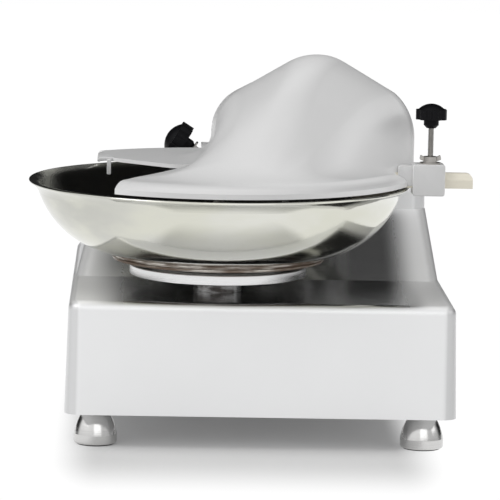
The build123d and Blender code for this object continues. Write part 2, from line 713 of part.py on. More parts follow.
def sickle_knife(y, turn):
    """A sickle knife whose ground outer edge sweeps from the hub out to the tip."""
    heel_out, belly, tip = on_circle(20, turn - 60), on_circle(68, turn + 10), on_circle(KNIFE_R, turn + 78)
    tip_back, hollow, heel_in = on_circle(KNIFE_R - 6, turn + 88), on_circle(46, turn + 56), on_circle(20, turn + 100)
    with BuildPart() as knife:
        with BuildSketch(facing_front(KNIFE_X, y - KNIFE_T / 2, KNIFE_Z)):
            with BuildLine():
                ThreePointArc(heel_out, belly, tip)
                Line(tip, tip_back)
                ThreePointArc(tip_back, hollow, heel_in)
                Line(heel_in, heel_out)
            make_face()
            Circle(HUB_R)
            Circle(SPINDLE_R, mode=Mode.SUBTRACT)
        extrude(amount=-KNIFE_T)
        front = knife.faces().filter_by(Axis.Y).sort_by(Axis.Y)[0]
        cutting_edge = front.edges().filter_by(GeomType.CIRCLE).sort_by(SortBy.LENGTH)[-1]
        chamfer(cutting_edge, 7.0, 2.6, reference=front)
    return knife.part


for knife_name, knife_y, knife_turn in zip(
    ("knife_front", "knife_middle", "knife_rear"), KNIFE_YS, (0, 120, 240)
):
    save(sickle_knife(knife_y, knife_turn), knife_name)

with BuildPart() as knife_spacers:
    for start, end in zip(KNIFE_YS, KNIFE_YS[1:]):
        revolve(
            outline(
                KNIFE_SIDE, (start + KNIFE_T / 2, SPINDLE_R), (start + KNIFE_T / 2, 20),
                (end - KNIFE_T / 2, 20), (end - KNIFE_T / 2, SPINDLE_R),
            ),
            axis=KNIFE_AXIS,
        )
    last = KNIFE_YS[-1] + KNIFE_T / 2
    revolve(outline(KNIFE_SIDE, (last, SPINDLE_R), (last, 20), (20, 20), (20, SPINDLE_R)), axis=KNIFE_AXIS)
save(knife_spacers.part, "knife_spacers")

with BuildPart() as knife_nut:
    with BuildSketch(facing_front(KNIFE_X, NUT_BACK_Y, KNIFE_Z)):
        Circle(20)
        Circle(SPINDLE_R, mode=Mode.SUBTRACT)
    extrude(amount=6)
    with BuildSketch(facing_front(KNIFE_X, NUT_STEP_Y, KNIFE_Z)):
        RegularPolygon(15, 6)
        Circle(8, mode=Mode.SUBTRACT)
    extrude(amount=14)
save(knife_nut.part, "knife_nut")

# ================================ lid ============================================================

BELL_FRONT_Y = -181.0     # where the bell's front slope leaves the skirt
BELL_FULL_Y = -20.0       # from here to the back the bell has its full outline
BELL_BACK_Y = 96.0
BELL_BACK_SHARE = 0.872    # height at the back as a share of the full height
BELL_STEPS = 9
BELL_RIM_R = 192.0        # the front slope's right-hand side follows the lid's round edge
BELL_SIDE = (-8.0, 203.0)           # X of the bell's upright sides
BELL_FOOT = (-31.0, 203.6)          # X where they meet the lid's flat
TOE_SIDE = (-24.0, 52.0)            # the same at the front slope's toe
TOE_FOOT = (-100.0, 64.0)
FOOT_SHARE, SIDE_SHARE, SHOULDER_SHARE, CREST_SHARE = 0.18, 0.35, 0.68, 0.935
SHOULDER_DX, CREST_DX = 0.768, 0.284           # as shares of the bell's half width


def bell_half(foot, side, share):
    """Bezier pieces of one half of the bell's outline as (distance from the crest, share of the height)."""
    shoulder, crest = SHOULDER_DX * side, CREST_DX * side
    flare = FOOT_SHARE + 0.16 * (1 - share)
    wall_top = SIDE_SHARE + 0.07 * (1 - share)
    return [
        [(foot, 0), ((foot + side) / 2, 0), (side, flare / 3), (side, flare)],
        [(side, flare), (side, wall_top)],
        [(side, wall_top), (side, 0.52), (side * 0.924, 0.60), (shoulder, SHOULDER_SHARE)],
        [(shoulder, SHOULDER_SHARE), (crest, CREST_SHARE)],
        [(crest, CREST_SHARE), (crest * 0.63, 0.985), (crest / 3, 1.0), (0, 1.0)],
    ]


def bell_section(y, share, wall, low=1.0):
    """The bell's outline at y, where share goes from 0 at the toe of the slope to 1 at the full outline."""
    rise = share * share * (3 - 2 * share)
    lift = low * (0.012 + 0.988 * rise) * (BELL_TOP_Z - LID_FLAT_Z)
    base = LID_FLAT_Z - wall
    spread = share ** 0.8
    ends = []
    for toe, full in zip(TOE_SIDE + TOE_FOOT, BELL_SIDE + BELL_FOOT):
        ends.append(toe + (full - toe) * spread)
    rim_x = sqrt(BELL_RIM_R**2 - y * y)
    right_side = rim_x + (BELL_SIDE[1] - rim_x) * share**6
    left_side, left_foot = ends[0] + wall, ends[2] + wall
    right_side = right_side - wall
    crest_x = left_side + (right_side - left_side) * 0.5
    left = bell_half(crest_x - left_foot, crest_x - left_side, share)
    right = bell_half(right_side + 0.6 + 3 * (1 - share) - crest_x, right_side - crest_x, share)
    pieces = [[(crest_x - d, base + part * lift) for d, part in piece] for piece in left]
    pieces += [[(crest_x + d, base + part * lift) for d, part in piece[::-1]] for piece in right[::-1]]
    floor = LID_EDGE_Z - 2 * wall
    with BuildSketch(facing_front(0, y)) as sketch:
        with BuildLine():
            for piece in pieces:
                if len(piece) == 2:
                    Line(*piece)
                else:
                    Bezier(*piece)
            last, first = pieces[-1][-1], pieces[0][0]
            Polyline(last, (last[0], floor), (first[0], floor), first)
        make_face()
    return sketch.sketch


def bell_form(wall=0.0):
    """The bell with its smooth front slope, or with a wall the hollow under it."""
    front_y, full_y = BELL_FRONT_Y + 2.0 * wall, BELL_FULL_Y + 1.4 * wall
    sections = []
    for step in range(BELL_STEPS + 1):
        share = step / BELL_STEPS
        sections.append(bell_section(front_y + (full_y - front_y) * share, share, wall))
    with BuildPart() as form:
        loft(sections)
        loft([sections[-1], bell_section(BELL_BACK_Y - wall, 1.0, wall, BELL_BACK_SHARE)], ruled=True)
    return form.part


def cap_section(wall=0.0):
    """Half section of the lid's round cap down to its edge."""
    edge_r = LID_R - wall
    top = LID_FLAT_Z - wall
    lip_z = LID_EDGE_Z + LID_LIP_H - wall / 2
    low = LID_EDGE_Z - 2 * wall
    with BuildSketch(MID_FRONT) as sketch:
        with BuildLine():
            Polyline((edge_r, lip_z), (edge_r, low), (0, low), (0, top), (LID_FLAT_R, top))
            ThreePointArc((LID_FLAT_R, top), (LID_R - 6.5, top - 2.6), (edge_r, lip_z))
        make_face()
    return sketch.sketch


TUNNEL_R = 34.0
TUNNEL_DROP = KNIFE_Z - LID_EDGE_Z
ARM_XS = (KNIFE_X - HEAD_R - 9.0, KNIFE_X + HEAD_R + 1.0)
ARM_T = 8.0
OPENING = ((-25, 16), (-127.3, -244), (-330, -244), (-330, 230), (-146, 230), (-112, 58))

with BuildPart() as cover:
    revolve(cap_section(), axis=MID_AXIS)
    add(bell_form())
    with BuildSketch(facing_front(KNIFE_X, 60, KNIFE_Z)):
        Circle(TUNNEL_R)
        with Locations((0, -TUNNEL_DROP / 2)):
            Rectangle(2 * TUNNEL_R, TUNNEL_DROP)
    extrude(amount=-136)
    with BuildSketch(facing_front(sum(BLOCK_X) / 2, BAR_Y + 13, sum(CLAMP_BLOCK_Z) / 2)):
        RectangleRounded(BLOCK_X[1] - BLOCK_X[0], CLAMP_BLOCK_Z[1] - CLAMP_BLOCK_Z[0], 3)
    extrude(amount=26)
    with BuildSketch(facing_front(193, BAR_Y + 12, 283)):
        Rectangle(24, 22)
    extrude(amount=18)
    revolve(cap_section(LID_T), axis=MID_AXIS, mode=Mode.SUBTRACT)
    add(bell_form(LID_T), mode=Mode.SUBTRACT)
    with BuildSketch(facing_front(KNIFE_X, 55, KNIFE_Z)):
        Circle(TUNNEL_R - LID_T)
        with Locations((0, -20)):
            Rectangle(2 * (TUNNEL_R - LID_T), 40)
    extrude(amount=-150, mode=Mode.SUBTRACT)
    with BuildSketch(level(0, 0, LID_EDGE_Z - 5)):
        with BuildLine():
            FilletPolyline(*OPENING, radius=6, close=True)
        make_face()
    extrude(amount=30, mode=Mode.SUBTRACT)
    for arm_x in ARM_XS:
        with BuildSketch(facing_right(arm_x, 0)):
            with BuildLine() as arm:
                Polyline((120, LID_FLAT_Z - 2), (120, LID_FLAT_Z + 14), (HINGE_Y - 10, HINGE_Z + 11),
                         (HINGE_Y - 6, HINGE_Z - 11), (182, LID_FLAT_Z - 3), close=True)
            make_face()
            with Locations((HINGE_Y, HINGE_Z)):
                Circle(13)
                Circle(HINGE_R + RUN_FIT, mode=Mode.SUBTRACT)
        extrude(amount=ARM_T)
    with BuildSketch(level(LOCK_X, 0, LID_FLAT_Z - 4)):
        with Locations((1, 198)):
            Rectangle(24, 70)
        with Locations((-6, LOCK_Y)):
            SlotOverall(22, 9.6, mode=Mode.SUBTRACT)
    extrude(amount=5)
    with BuildSketch(facing_right(180, BAR_Y, sum(BAR_Z) / 2)):
        Rectangle(BAR_T + 0.6, BAR_Z[1] - BAR_Z[0] + 0.6)
    extrude(amount=60, mode=Mode.SUBTRACT)
    with BuildSketch(level(CLAMP_X, BAR_Y, 280)):
        Circle(ROD_R + RUN_FIT)
    extrude(amount=20, mode=Mode.SUBTRACT)
save(cover.part, "cover")

with BuildPart() as hinge_pins:
    for side in (-1, 1):
        inside = KNIFE_X + side * (HEAD_R - 12)
        head = KNIFE_X + side * (HEAD_R + 1.0 + ARM_T)
        with BuildSketch(facing_right(inside, HINGE_Y, HINGE_Z)):
            Circle(HINGE_R)
        extrude(amount=head - inside + side * 0.5)
        with BuildSketch(facing_right(head + side * 0.5, HINGE_Y, HINGE_Z)):
            RegularPolygon(10, 6)
        extrude(amount=side * 5)
save(hinge_pins.part, "hinge_pins")

with BuildPart() as interlock_magnet:
    with Locations(at(ARM_XS[0] - 3.5, 206, 292)):
        Box(7, 22, 10)
    fillet(interlock_magnet.edges().filter_by(Axis.Z), 1.5)
save(interlock_magnet.part, "interlock_magnet")

with BuildPart() as interlock_sensor:
    with Locations(at(ARM_XS[0] - 15, 218, BLOCK_TOP_Z)):
        Box(12, 26, 36, align=(Align.CENTER, Align.CENTER, Align.MIN))
    fillet(interlock_sensor.edges().filter_by(Axis.Z), 2)
save(interlock_sensor.part, "interlock_sensor")

# ================================ scraper and its clamp ==========================================

SCRAPER_T = 10.0
SCRAPER_X = (137.0, 187.0)
with BuildPart() as scraper_bar:
    with BuildSketch(facing_front(0, BAR_Y + SCRAPER_T / 2)):
        with BuildLine():
            Polyline((SCRAPER_X[0], BAR_Z[1]), (SCRAPER_X[0], 214), (150, 196), (SCRAPER_X[1], 196),
                     (SCRAPER_X[1], BAR_Z[1]), close=True)
        make_face()
    extrude(amount=SCRAPER_T)
    with BuildSketch(MID_FRONT):
        with Locations((CHANNEL_R, CHANNEL_Z)):
            Circle(CHANNEL_IN_R - 1.5)
        with Locations((CHANNEL_R / 2, CHANNEL_Z)):
            Rectangle(CHANNEL_R, 2 * CHANNEL_IN_R - 3)
        with Locations((CHANNEL_R, CHANNEL_Z + 50)):
            Rectangle(4 * CHANNEL_R, 100, mode=Mode.SUBTRACT)
    revolve(axis=MID_AXIS, mode=Mode.INTERSECT)
    with BuildSketch(facing_right(SCRAPER_X[0], BAR_Y)):
        with BuildLine():
            Polyline((-BAR_T / 2, BAR_Z[0]), (BAR_T / 2, BAR_Z[0]), (BAR_T / 2, BAR_Z[1]),
                     (4 - BAR_T / 2, BAR_Z[1]), (-BAR_T / 2, BAR_Z[1] - 7), close=True)
        make_face()
    extrude(amount=BAR_REACH - SCRAPER_X[0])
    bar_end = scraper_bar.faces().sort_by(Axis.X)[-1]
    fillet(bar_end.edges().sort_by(Axis.Z)[-1], 7)
save(scraper_bar.part, "scraper_bar")


KNOB_LOBES = 7
DOME_R = KNOB_R - 2.6


def star_knob(base, hub_r, bore_r, bore_depth):
    """A seven-lobed knob standing on base: tapered hub, scalloped head, low dome."""
    hub_h, head_top, knob_top = 8.9, 19.5, 25.4
    dome_h = knob_top - head_top
    dome_sphere = (DOME_R**2 + dome_h**2) / (2 * dome_h)
    dome_mid = knob_top - dome_sphere + sqrt(dome_sphere**2 - DOME_R**2 / 4)
    with BuildPart() as knob:
        with BuildSketch(Plane(base.origin, x_dir=base.x_dir, z_dir=-base.y_dir)):
            with BuildLine():
                Polyline((0, 0), (hub_r * 0.62, 0), (hub_r, 3.2), (hub_r, hub_h + 1), (DOME_R, hub_h + 1),
                         (DOME_R, head_top))
                ThreePointArc((DOME_R, head_top), (DOME_R / 2, dome_mid), (0, knob_top))
                Line((0, knob_top), (0, 0))
            make_face()
        revolve(axis=Axis(base.origin, base.z_dir))
        with BuildSketch(base.offset(hub_h)) as star:
            Circle(KNOB_R)
            with PolarLocations(KNOB_R + 2.6, KNOB_LOBES):
                Circle(4.8, mode=Mode.SUBTRACT)
            fillet(star.vertices(), 1.6)
        extrude(amount=head_top - hub_h)
        with BuildSketch(base):
            Circle(bore_r)
        extrude(amount=bore_depth, mode=Mode.SUBTRACT)
    return knob.part


CLAMP_KNOB_Z = 332.8
save(star_knob(level(CLAMP_X, BAR_Y, CLAMP_KNOB_Z), 7.8, ROD_R, 12), "clamp_knob")

PAD_Z = (BAR_Z[1], BAR_Z[1] + 2.5)
with BuildPart() as clamp_pad:
    with BuildSketch(level(CLAMP_X, BAR_Y, PAD_Z[0] + 0.05)):
        Circle(ROD_R - 0.2)
    extrude(amount=PAD_Z[1] - PAD_Z[0] - 0.1)
save(clamp_pad.part, "clamp_pad")

with BuildPart() as clamp_screw:
    with BuildSketch(level(CLAMP_X, BAR_Y, PAD_Z[1])):
        Circle(ROD_R)
    extrude(amount=CLAMP_KNOB_Z + 12 - PAD_Z[1])
save(clamp_screw.part, "clamp_screw")

NUT_PLANE = level(CLAMP_X, BAR_Y, CLAMP_BLOCK_Z[1])
with BuildPart() as lock_nut:
    for disc_r, disc_h in ((11.0, 1.4), (7.2, 7.6)):
        with BuildSketch(NUT_PLANE):
            Circle(disc_r)
        extrude(amount=disc_h)
    with BuildSketch(facing_front(CLAMP_X, BAR_Y + 1.8, CLAMP_BLOCK_Z[1])):
        with BuildLine():
            FilletPolyline((-6, 2.4), (-11.2, 4.6), (-10.4, 9.4), (-6.4, 7.2), (6.4, 7.2), (10.4, 9.4),
                           (11.2, 4.6), (6, 2.4), radius=0.9, close=True)
        make_face()
    extrude(amount=3.6)
    with BuildSketch(NUT_PLANE):
        Circle(ROD_R + RUN_FIT)
    extrude(amount=10, mode=Mode.SUBTRACT)
save(lock_nut.part, "lock_nut")

# ================================ swing bolt =====================================================

TILT_C, TILT_S = cos(radians(LOCK_TILT)), sin(radians(LOCK_TILT))
BOLT_SIDE = Plane(at(LOCK_X, LOCK_Y, LOCK_Z), x_dir=(TILT_C, 0, TILT_S), z_dir=(0, -1, 0))
BOLT_AXIS = Axis(BOLT_SIDE.origin, BOLT_SIDE.y_dir)
LOCK_HUB = 24.0           # from the pivot to the knob's hub
LOCK_PIN_R = 4.0
with BuildPart() as lock_bolt:
    revolve(outline(BOLT_SIDE, (0, 0), (ROD_R, 0), (ROD_R, 36), (0, 36)), axis=BOLT_AXIS)
    with BuildSketch(BOLT_SIDE.offset(-4)):
        Circle(7)
    extrude(amount=8)
    with BuildSketch(BOLT_SIDE.offset(-4)):
        Circle(LOCK_PIN_R + RUN_FIT)
    extrude(amount=8, mode=Mode.SUBTRACT)
save(lock_bolt.part, "lock_bolt")

with BuildPart() as lock_washer:
    revolve(
        outline(
            BOLT_SIDE, (ROD_R + RUN_FIT, LOCK_HUB - 2), (8, LOCK_HUB - 2), (8, LOCK_HUB - 0.2),
            (ROD_R + RUN_FIT, LOCK_HUB - 0.2),
        ),
        axis=BOLT_AXIS,
    )
save(lock_washer.part, "lock_washer")

hub_end = BOLT_SIDE.origin + BOLT_SIDE.y_dir * LOCK_HUB
save(
    star_knob(Plane(hub_end, x_dir=(0, 1, 0), z_dir=BOLT_SIDE.y_dir), 6.8, ROD_R + RUN_FIT, 14),
    "lock_knob",
)

with BuildPart() as lock_bracket:
    with Locations(at(LOCK_X, LOCK_Y, BLOCK_TOP_Z)):
        Box(34, 34, 4, align=(Align.CENTER, Align.CENTER, Align.MIN))
    for ear_y in (LOCK_Y - 4.5, LOCK_Y + 9.5):
        with BuildSketch(facing_front(LOCK_X, ear_y, LOCK_Z)):
            Circle(7.5)
            with Locations((0, -10)):
                Rectangle(15, 20)
            Circle(LOCK_PIN_R, mode=Mode.SUBTRACT)
        extrude(amount=5)
save(lock_bracket.part, "lock_bracket")

with BuildPart() as lock_pin:
    with BuildSketch(facing_front(LOCK_X, LOCK_Y + 10.5, LOCK_Z)):
        Circle(LOCK_PIN_R)
    extrude(amount=21)
save(lock_pin.part, "lock_pin")

# ================================ controls, vent, gland and screws ===============================

PANEL_T = 3.0
PANEL_GAP = 0.8            # the drafted side wall leans away behind the plate
BUTTON_SPAN = 17.0
with BuildPart() as switch_plate:
    with BuildSketch(facing_right(SIDE_X + PANEL_GAP, SWITCH_Y, SWITCH_Z)):
        RectangleRounded(92, 50, 6)
    extrude(amount=PANEL_T)
    with BuildSketch(facing_right(SIDE_X - 1, SWITCH_Y, SWITCH_Z)):
        RectangleRounded(66, 26, 3)
    extrude(amount=2)
    with BuildSketch(facing_right(SIDE_X - 2, SWITCH_Y, SWITCH_Z)):
        with Locations((-BUTTON_SPAN, 0), (BUTTON_SPAN, 0)):
            Circle(10.05)
    extrude(amount=8, mode=Mode.SUBTRACT)
save(switch_plate.part, "switch_plate")

BUTTON_FACE = SIDE_X + PANEL_GAP + PANEL_T
for button_name, place, cap_r, proud, stem in (
    ("start_button", BUTTON_SPAN, 9.0, 1.0, 0.8),
    ("stop_button", -BUTTON_SPAN, 13.0, 9.0, 4.8),
):
    button_side = facing_front(0, SWITCH_Y + place, SWITCH_Z)
    with BuildPart() as button:
        revolve(
            outline(
                button_side, (SIDE_X - 14, 0), (SIDE_X - 14, 10), (BUTTON_FACE + stem, 10),
                (BUTTON_FACE + proud - 0.8 + 4.2, cap_r), (BUTTON_FACE + proud + 4.2, cap_r - 1.5),
                (BUTTON_FACE + proud + 4.2, 0),
            ),
            axis=Axis(at(0, SWITCH_Y + place, SWITCH_Z), (1, 0, 0)),
        )
    save(button.part, button_name)

REAR_Y = HOUSE_Y + HOUSE_D / 2 - (VENT_Z - VENT_H / 2 - HOUSE_Z0) * tan(radians(DRAFT))
with BuildPart() as rear_cover:
    with BuildSketch(facing_front(VENT_X, REAR_Y + 0.2, VENT_Z)):
        RectangleRounded(VENT_W, VENT_H, 8)
        with GridLocations(34, 15, 5, 3):
            SlotOverall(26, 5, mode=Mode.SUBTRACT)
    extrude(amount=-2.5)
save(rear_cover.part, "rear_cover")

GLAND_Y = HOUSE_Y + HOUSE_D / 2 - (GLAND_Z - HOUSE_Z0) * tan(radians(DRAFT))
GLAND_SIDE = facing_right(GLAND_X, 0, GLAND_Z)
with BuildPart() as cable_gland:
    revolve(
        outline(
            GLAND_SIDE, (GLAND_Y - 12, 4), (GLAND_Y - 12, GLAND_R), (GLAND_Y + 0.3, GLAND_R),
            (GLAND_Y + 0.3, 10), (GLAND_Y + 4, 10), (GLAND_Y + 5, 8.4), (REAR_REACH - 1.2, 7.4),
            (REAR_REACH, 6), (REAR_REACH, 4),
        ),
        axis=lengthwise(GLAND_X, GLAND_Z),
    )
save(cable_gland.part, "cable_gland")

SCREW_R = 4.2
with BuildPart() as housing_screws:
    for side in (-1, 1):
        for y in (HEAD_Y[0] + 14, HEAD_Y[1] - 14):
            with BuildSketch(level(KNIFE_X + side * (HEAD_R + 7.5), y, BLOCK_TOP_Z + 9)):
                RegularPolygon(5.5, 6)
            extrude(amount=4)
        with BuildSketch(level(KNIFE_X + side * (HEAD_R + 11), 360, BLOCK_TOP_Z + 2.5)):
            Circle(SCREW_R)
        extrude(amount=2.6)
        for dz in (-1, 1):
            place = facing_front(VENT_X + side * (VENT_W / 2 - 8), REAR_Y + 2.7, VENT_Z + dz * (VENT_H / 2 - 8))
            with BuildSketch(place):
                Circle(SCREW_R)
            extrude(amount=-2.4)
save(housing_screws.part, "housing_screws")

with BuildPart() as base_screws:
    with BuildSketch(level(HOUSE_X, HOUSE_Y, HOUSE_Z0)):
        with GridLocations(PLATE_W - 16, (PLATE_D - 120) / 2, 2, 3):
            Circle(SCREW_R)
    extrude(amount=-2.6)
    with Locations(*[at(x, y, HOUSE_Z0 + PLATE_T + 3) for x in FOOT_XS for y in FOOT_YS]):
        Cylinder(7, 6)
        Cylinder(4, 6, mode=Mode.SUBTRACT)
save(base_screws.part, "base_screws")
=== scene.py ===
import json
import math

import bmesh
import bpy
from mathutils import Matrix, Vector


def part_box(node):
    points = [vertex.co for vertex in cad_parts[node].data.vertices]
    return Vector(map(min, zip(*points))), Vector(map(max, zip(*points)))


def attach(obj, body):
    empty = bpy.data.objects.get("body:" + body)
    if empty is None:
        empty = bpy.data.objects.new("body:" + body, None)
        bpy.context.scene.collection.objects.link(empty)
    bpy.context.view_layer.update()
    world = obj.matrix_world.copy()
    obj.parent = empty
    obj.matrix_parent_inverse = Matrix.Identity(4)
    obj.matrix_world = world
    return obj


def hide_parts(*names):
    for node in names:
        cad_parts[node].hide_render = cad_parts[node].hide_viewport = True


# The looks of a bench-top meat bowl cutter: a finish for every node, and finer meshes for the lid, the
# two discs under the bowl, the clamp's screw and the lid's knob. Places are in metres in the part's
# frame, apart from the lid and the discs, which are drawn in millimetres from the bowl's axis.

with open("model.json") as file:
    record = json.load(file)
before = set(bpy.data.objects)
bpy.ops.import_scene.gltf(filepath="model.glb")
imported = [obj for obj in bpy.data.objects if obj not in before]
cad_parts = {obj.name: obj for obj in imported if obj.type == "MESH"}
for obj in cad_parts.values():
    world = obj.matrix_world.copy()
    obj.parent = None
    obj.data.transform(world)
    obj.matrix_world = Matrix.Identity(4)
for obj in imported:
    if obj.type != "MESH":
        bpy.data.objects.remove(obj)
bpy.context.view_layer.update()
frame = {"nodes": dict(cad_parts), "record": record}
scene = bpy.context.scene
scene.view_settings.view_transform = "Standard"

BOWL_AXIS = (-0.031, -0.100)      # X and Y of the line that the bowl turns about

# ---- camera ---------------------------------------------------------------------------
CAMERA_AT = Vector((-0.1151, -3.7655, 0.6814))
YAW, PITCH, ROLL = 0.0321, 0.1316, 0.021        # radians: to the right, down, and about the view
LENS, SENSOR = 252.8, 36.0
FAR_CLIP = 60


def linked(name, data):
    """A new object in the scene."""
    thing = bpy.data.objects.new(name, data)
    scene.collection.objects.link(thing)
    return thing


def make_camera():
    level = math.cos(PITCH)
    forward = Vector((math.sin(YAW) * level, math.cos(YAW) * level, -math.sin(PITCH)))
    right = Vector((math.cos(YAW), -math.sin(YAW), 0))
    up = right.cross(forward)
    tilted_right = math.cos(ROLL) * right + math.sin(ROLL) * up
    tilted_up = math.cos(ROLL) * up - math.sin(ROLL) * right
    data = bpy.data.cameras.new("camera")
    data.lens, data.sensor_width = LENS, SENSOR
    data.clip_end = FAR_CLIP
    camera = linked("camera", data)
    turn = Matrix((tilted_right, tilted_up, -forward)).transposed().to_4x4()
    camera.matrix_world = Matrix.Translation(CAMERA_AT) @ turn
    scene.camera = camera


# ---- node helpers ---------------------------------------------------------------------
class Nodes:
    """Short names for the nodes of one material or world."""

    def __init__(self, owner):
        owner.use_nodes = True
        self.tree = owner.node_tree
        self.tree.nodes.clear()

    def add(self, kind, **settings):
        node = self.tree.nodes.new(kind)
        for key, value in settings.items():
            setattr(node, key, value)
        return node

    def put(self, socket, value):
        if isinstance(value, bpy.types.NodeSocket):
            self.tree.links.new(value, socket)
        else:
            socket.default_value = value

    def math(self, operation, a, b=0.0, c=0.0, clamp=False):
        node = self.add("ShaderNodeMath", operation=operation, use_clamp=clamp)
        for socket, value in zip(node.inputs, (a, b, c)):
            self.put(socket, value)
        return node.outputs[0]

    def product(self, first, *others):
        for other in others:
            first = self.math("MULTIPLY", first, other)
        return first

    def length(self, a, b):
        """Root of the sum of two squares."""
        return self.math("SQRT", self.math("ADD", self.product(a, a), self.product(b, b)))

    def step(self, value, low, high, to_low=0.0, to_high=1.0):
        """Goes smoothly from to_low to to_high as the value goes from low to high."""
        node = self.add("ShaderNodeMapRange", interpolation_type="SMOOTHSTEP")
        for socket, item in zip(node.inputs, (value, low, high, to_low, to_high)):
            self.put(socket, item)
        return node.outputs[0]

    def fade(self, value, low, high):
        """Goes smoothly from 1 to 0."""
        return self.step(value, low, high, 1.0, 0.0)

    def mix(self, share, a, b):
        node = self.add("ShaderNodeMix", data_type="RGBA")
        for socket, value in ((node.inputs[0], share), (node.inputs[6], a), (node.inputs[7], b)):
            self.put(socket, value)
        return node.outputs[2]

    def noise(self, vector, scale, detail=2.0, roughness=0.5):
        node = self.add("ShaderNodeTexNoise")
        values = {"Vector": vector, "Scale": scale, "Detail": detail, "Roughness": roughness}
        for name, value in values.items():
            self.put(node.inputs[name], value)
        return node.outputs[0]

    def place(self):
        """Position on the object, in metres."""
        return self.add("ShaderNodeTexCoord").outputs["Object"]

    def facing(self):
        """Direction the surface faces, in the piece's own frame, so it turns with the piece."""
        return self.add("ShaderNodeTexCoord").outputs["Normal"]

    def stretched(self, x, y, z):
        """Position with each axis scaled, for grain that runs one way."""
        node = self.add("ShaderNodeMapping", vector_type="POINT")
        self.put(node.inputs["Vector"], self.place())
        self.put(node.inputs["Scale"], (x, y, z))
        return node.outputs[0]

    def split(self, vector):
        node = self.add("ShaderNodeSeparateXYZ")
        self.put(node.inputs[0], vector)
        return node.outputs

    def bump(self, height, distance, strength=1.0):
        node = self.add("ShaderNodeBump")
        self.put(node.inputs["Height"], height)
        self.put(node.inputs["Distance"], distance)
        self.put(node.inputs["Strength"], strength)
        return node.outputs[0]

    def surface(self, kind, **values):
        """A shader with its inputs set by name."""
        shader = self.add(kind)
        for name, value in values.items():
            self.put(shader.inputs[name], value)
        return shader.outputs[0]

    def blend(self, share, a, b):
        node = self.add("ShaderNodeMixShader")
        for socket, value in zip(node.inputs, (share, a, b)):
            self.put(socket, value)
        return node.outputs[0]

    def finish(self, shader, kind="ShaderNodeOutputMaterial"):
        self.put(self.add(kind).inputs["Surface"], shader)


def grey(value, warm=0.0):
    return (value, value * (1 - 0.4 * warm), value * (1 - warm), 1.0)


PRINCIPLED_SOCKETS = {
    "color": "Base Color",
    "metallic": "Metallic",
    "roughness": "Roughness",
    "normal": "Normal",
    "coat": "Coat Weight",
    "coat_roughness": "Coat Roughness",
    "specular": "Specular IOR Level",
}


def principled(n, **values):
    sockets = {PRINCIPLED_SOCKETS[key]: value for key, value in values.items()}
    n.finish(n.surface("ShaderNodeBsdfPrincipled", **sockets))


def from_bowl_axis(n):
    """X and Y on the object, from the bowl's axis."""
    x, y, _ = n.split(n.place())
    return n.math("SUBTRACT", x, BOWL_AXIS[0]), n.math("SUBTRACT", y, BOWL_AXIS[1])


# ---- materials ------------------------------------------------------------------------
DECK_EDGE_Z = (0.146, 0.152)            # the deck's rounded edge, up to the flat
POLISH_LEFT_X = (-0.175, -0.105)        # the polish comes in from the left and goes out to the right; its zone also gets a painted dark reflection
POLISH_RIGHT_X = (0.150, 0.190)
POLISH_TOP_Z = (0.212, 0.224)           # it ends below the rear block's top


def housing_material():
    """Brushed sheet steel: satin walls and a polished deck and slope. Painted light lightens the up-facing
    faces outside the polish, a painted dark reflection darkens the polished zone, and the rounded corners
    get a painted dark reflection too.
    """
    material = bpy.data.materials.new("housing_steel")
    n = Nodes(material)
    grain = n.noise(n.stretched(6, 6, 900), 1.0, 3.0, 0.6)
    cloud = n.noise(n.place(), 9.0, 3.0)
    x, _, z = n.split(n.place())
    normal_x, _, normal_z = n.split(n.facing())
    upward = n.product(n.step(normal_z, 0.45, 0.9), n.step(z, *DECK_EDGE_Z))
    zone = n.product(n.step(x, *POLISH_LEFT_X), n.fade(x, *POLISH_RIGHT_X), n.fade(z, *POLISH_TOP_Z))
    brushed_lit_top = n.product(upward, n.math("SUBTRACT", 1.0, zone))
    polished = n.product(upward, zone)
    sideways = n.math("ABSOLUTE", normal_x)
    painted_corner_reflection = n.product(n.step(sideways, 0.10, 0.35), n.step(sideways, 0.75, 0.98, 0.32, 0.0))
    shade = n.mix(cloud, grey(0.80, -0.01), grey(0.85, -0.01))
    # painted light: the up-facing faces outside the polish are lightened
    shade = n.mix(brushed_lit_top, shade, grey(0.97))
    # painted reflection: the polished zone's colour is darkened for the dark reflection it shows
    shade = n.mix(polished, shade, grey(0.44))
    # painted dark reflection on the rounded corners
    shade = n.mix(painted_corner_reflection, shade, grey(0.30))
    rough = n.math("ADD", n.product(polished, -0.27), n.math("MULTIPLY_ADD", cloud, 0.10, 0.37))
    rough = n.math("MULTIPLY_ADD", grain, 0.06, rough)
    metal = n.math("MULTIPLY_ADD", brushed_lit_top, -0.40, n.math("MULTIPLY_ADD", polished, 0.37, 0.62))
    normal = n.bump(grain, 0.00006, 0.5)
    principled(n, color=shade, metallic=metal, roughness=rough, normal=normal)
    return material


BOWL_SHADE_LEFT_X = (-0.20, 0.0)              # painted shade: the bowl is darker on its left
INSIDE_SHADE_Z = (0.262, 0.271)                 # painted shade: the inside is darkened below the rim
INSIDE_SHADE_LEFT_X = (-0.203, -0.178)          # but the painted shade leaves its leftmost stretch bright
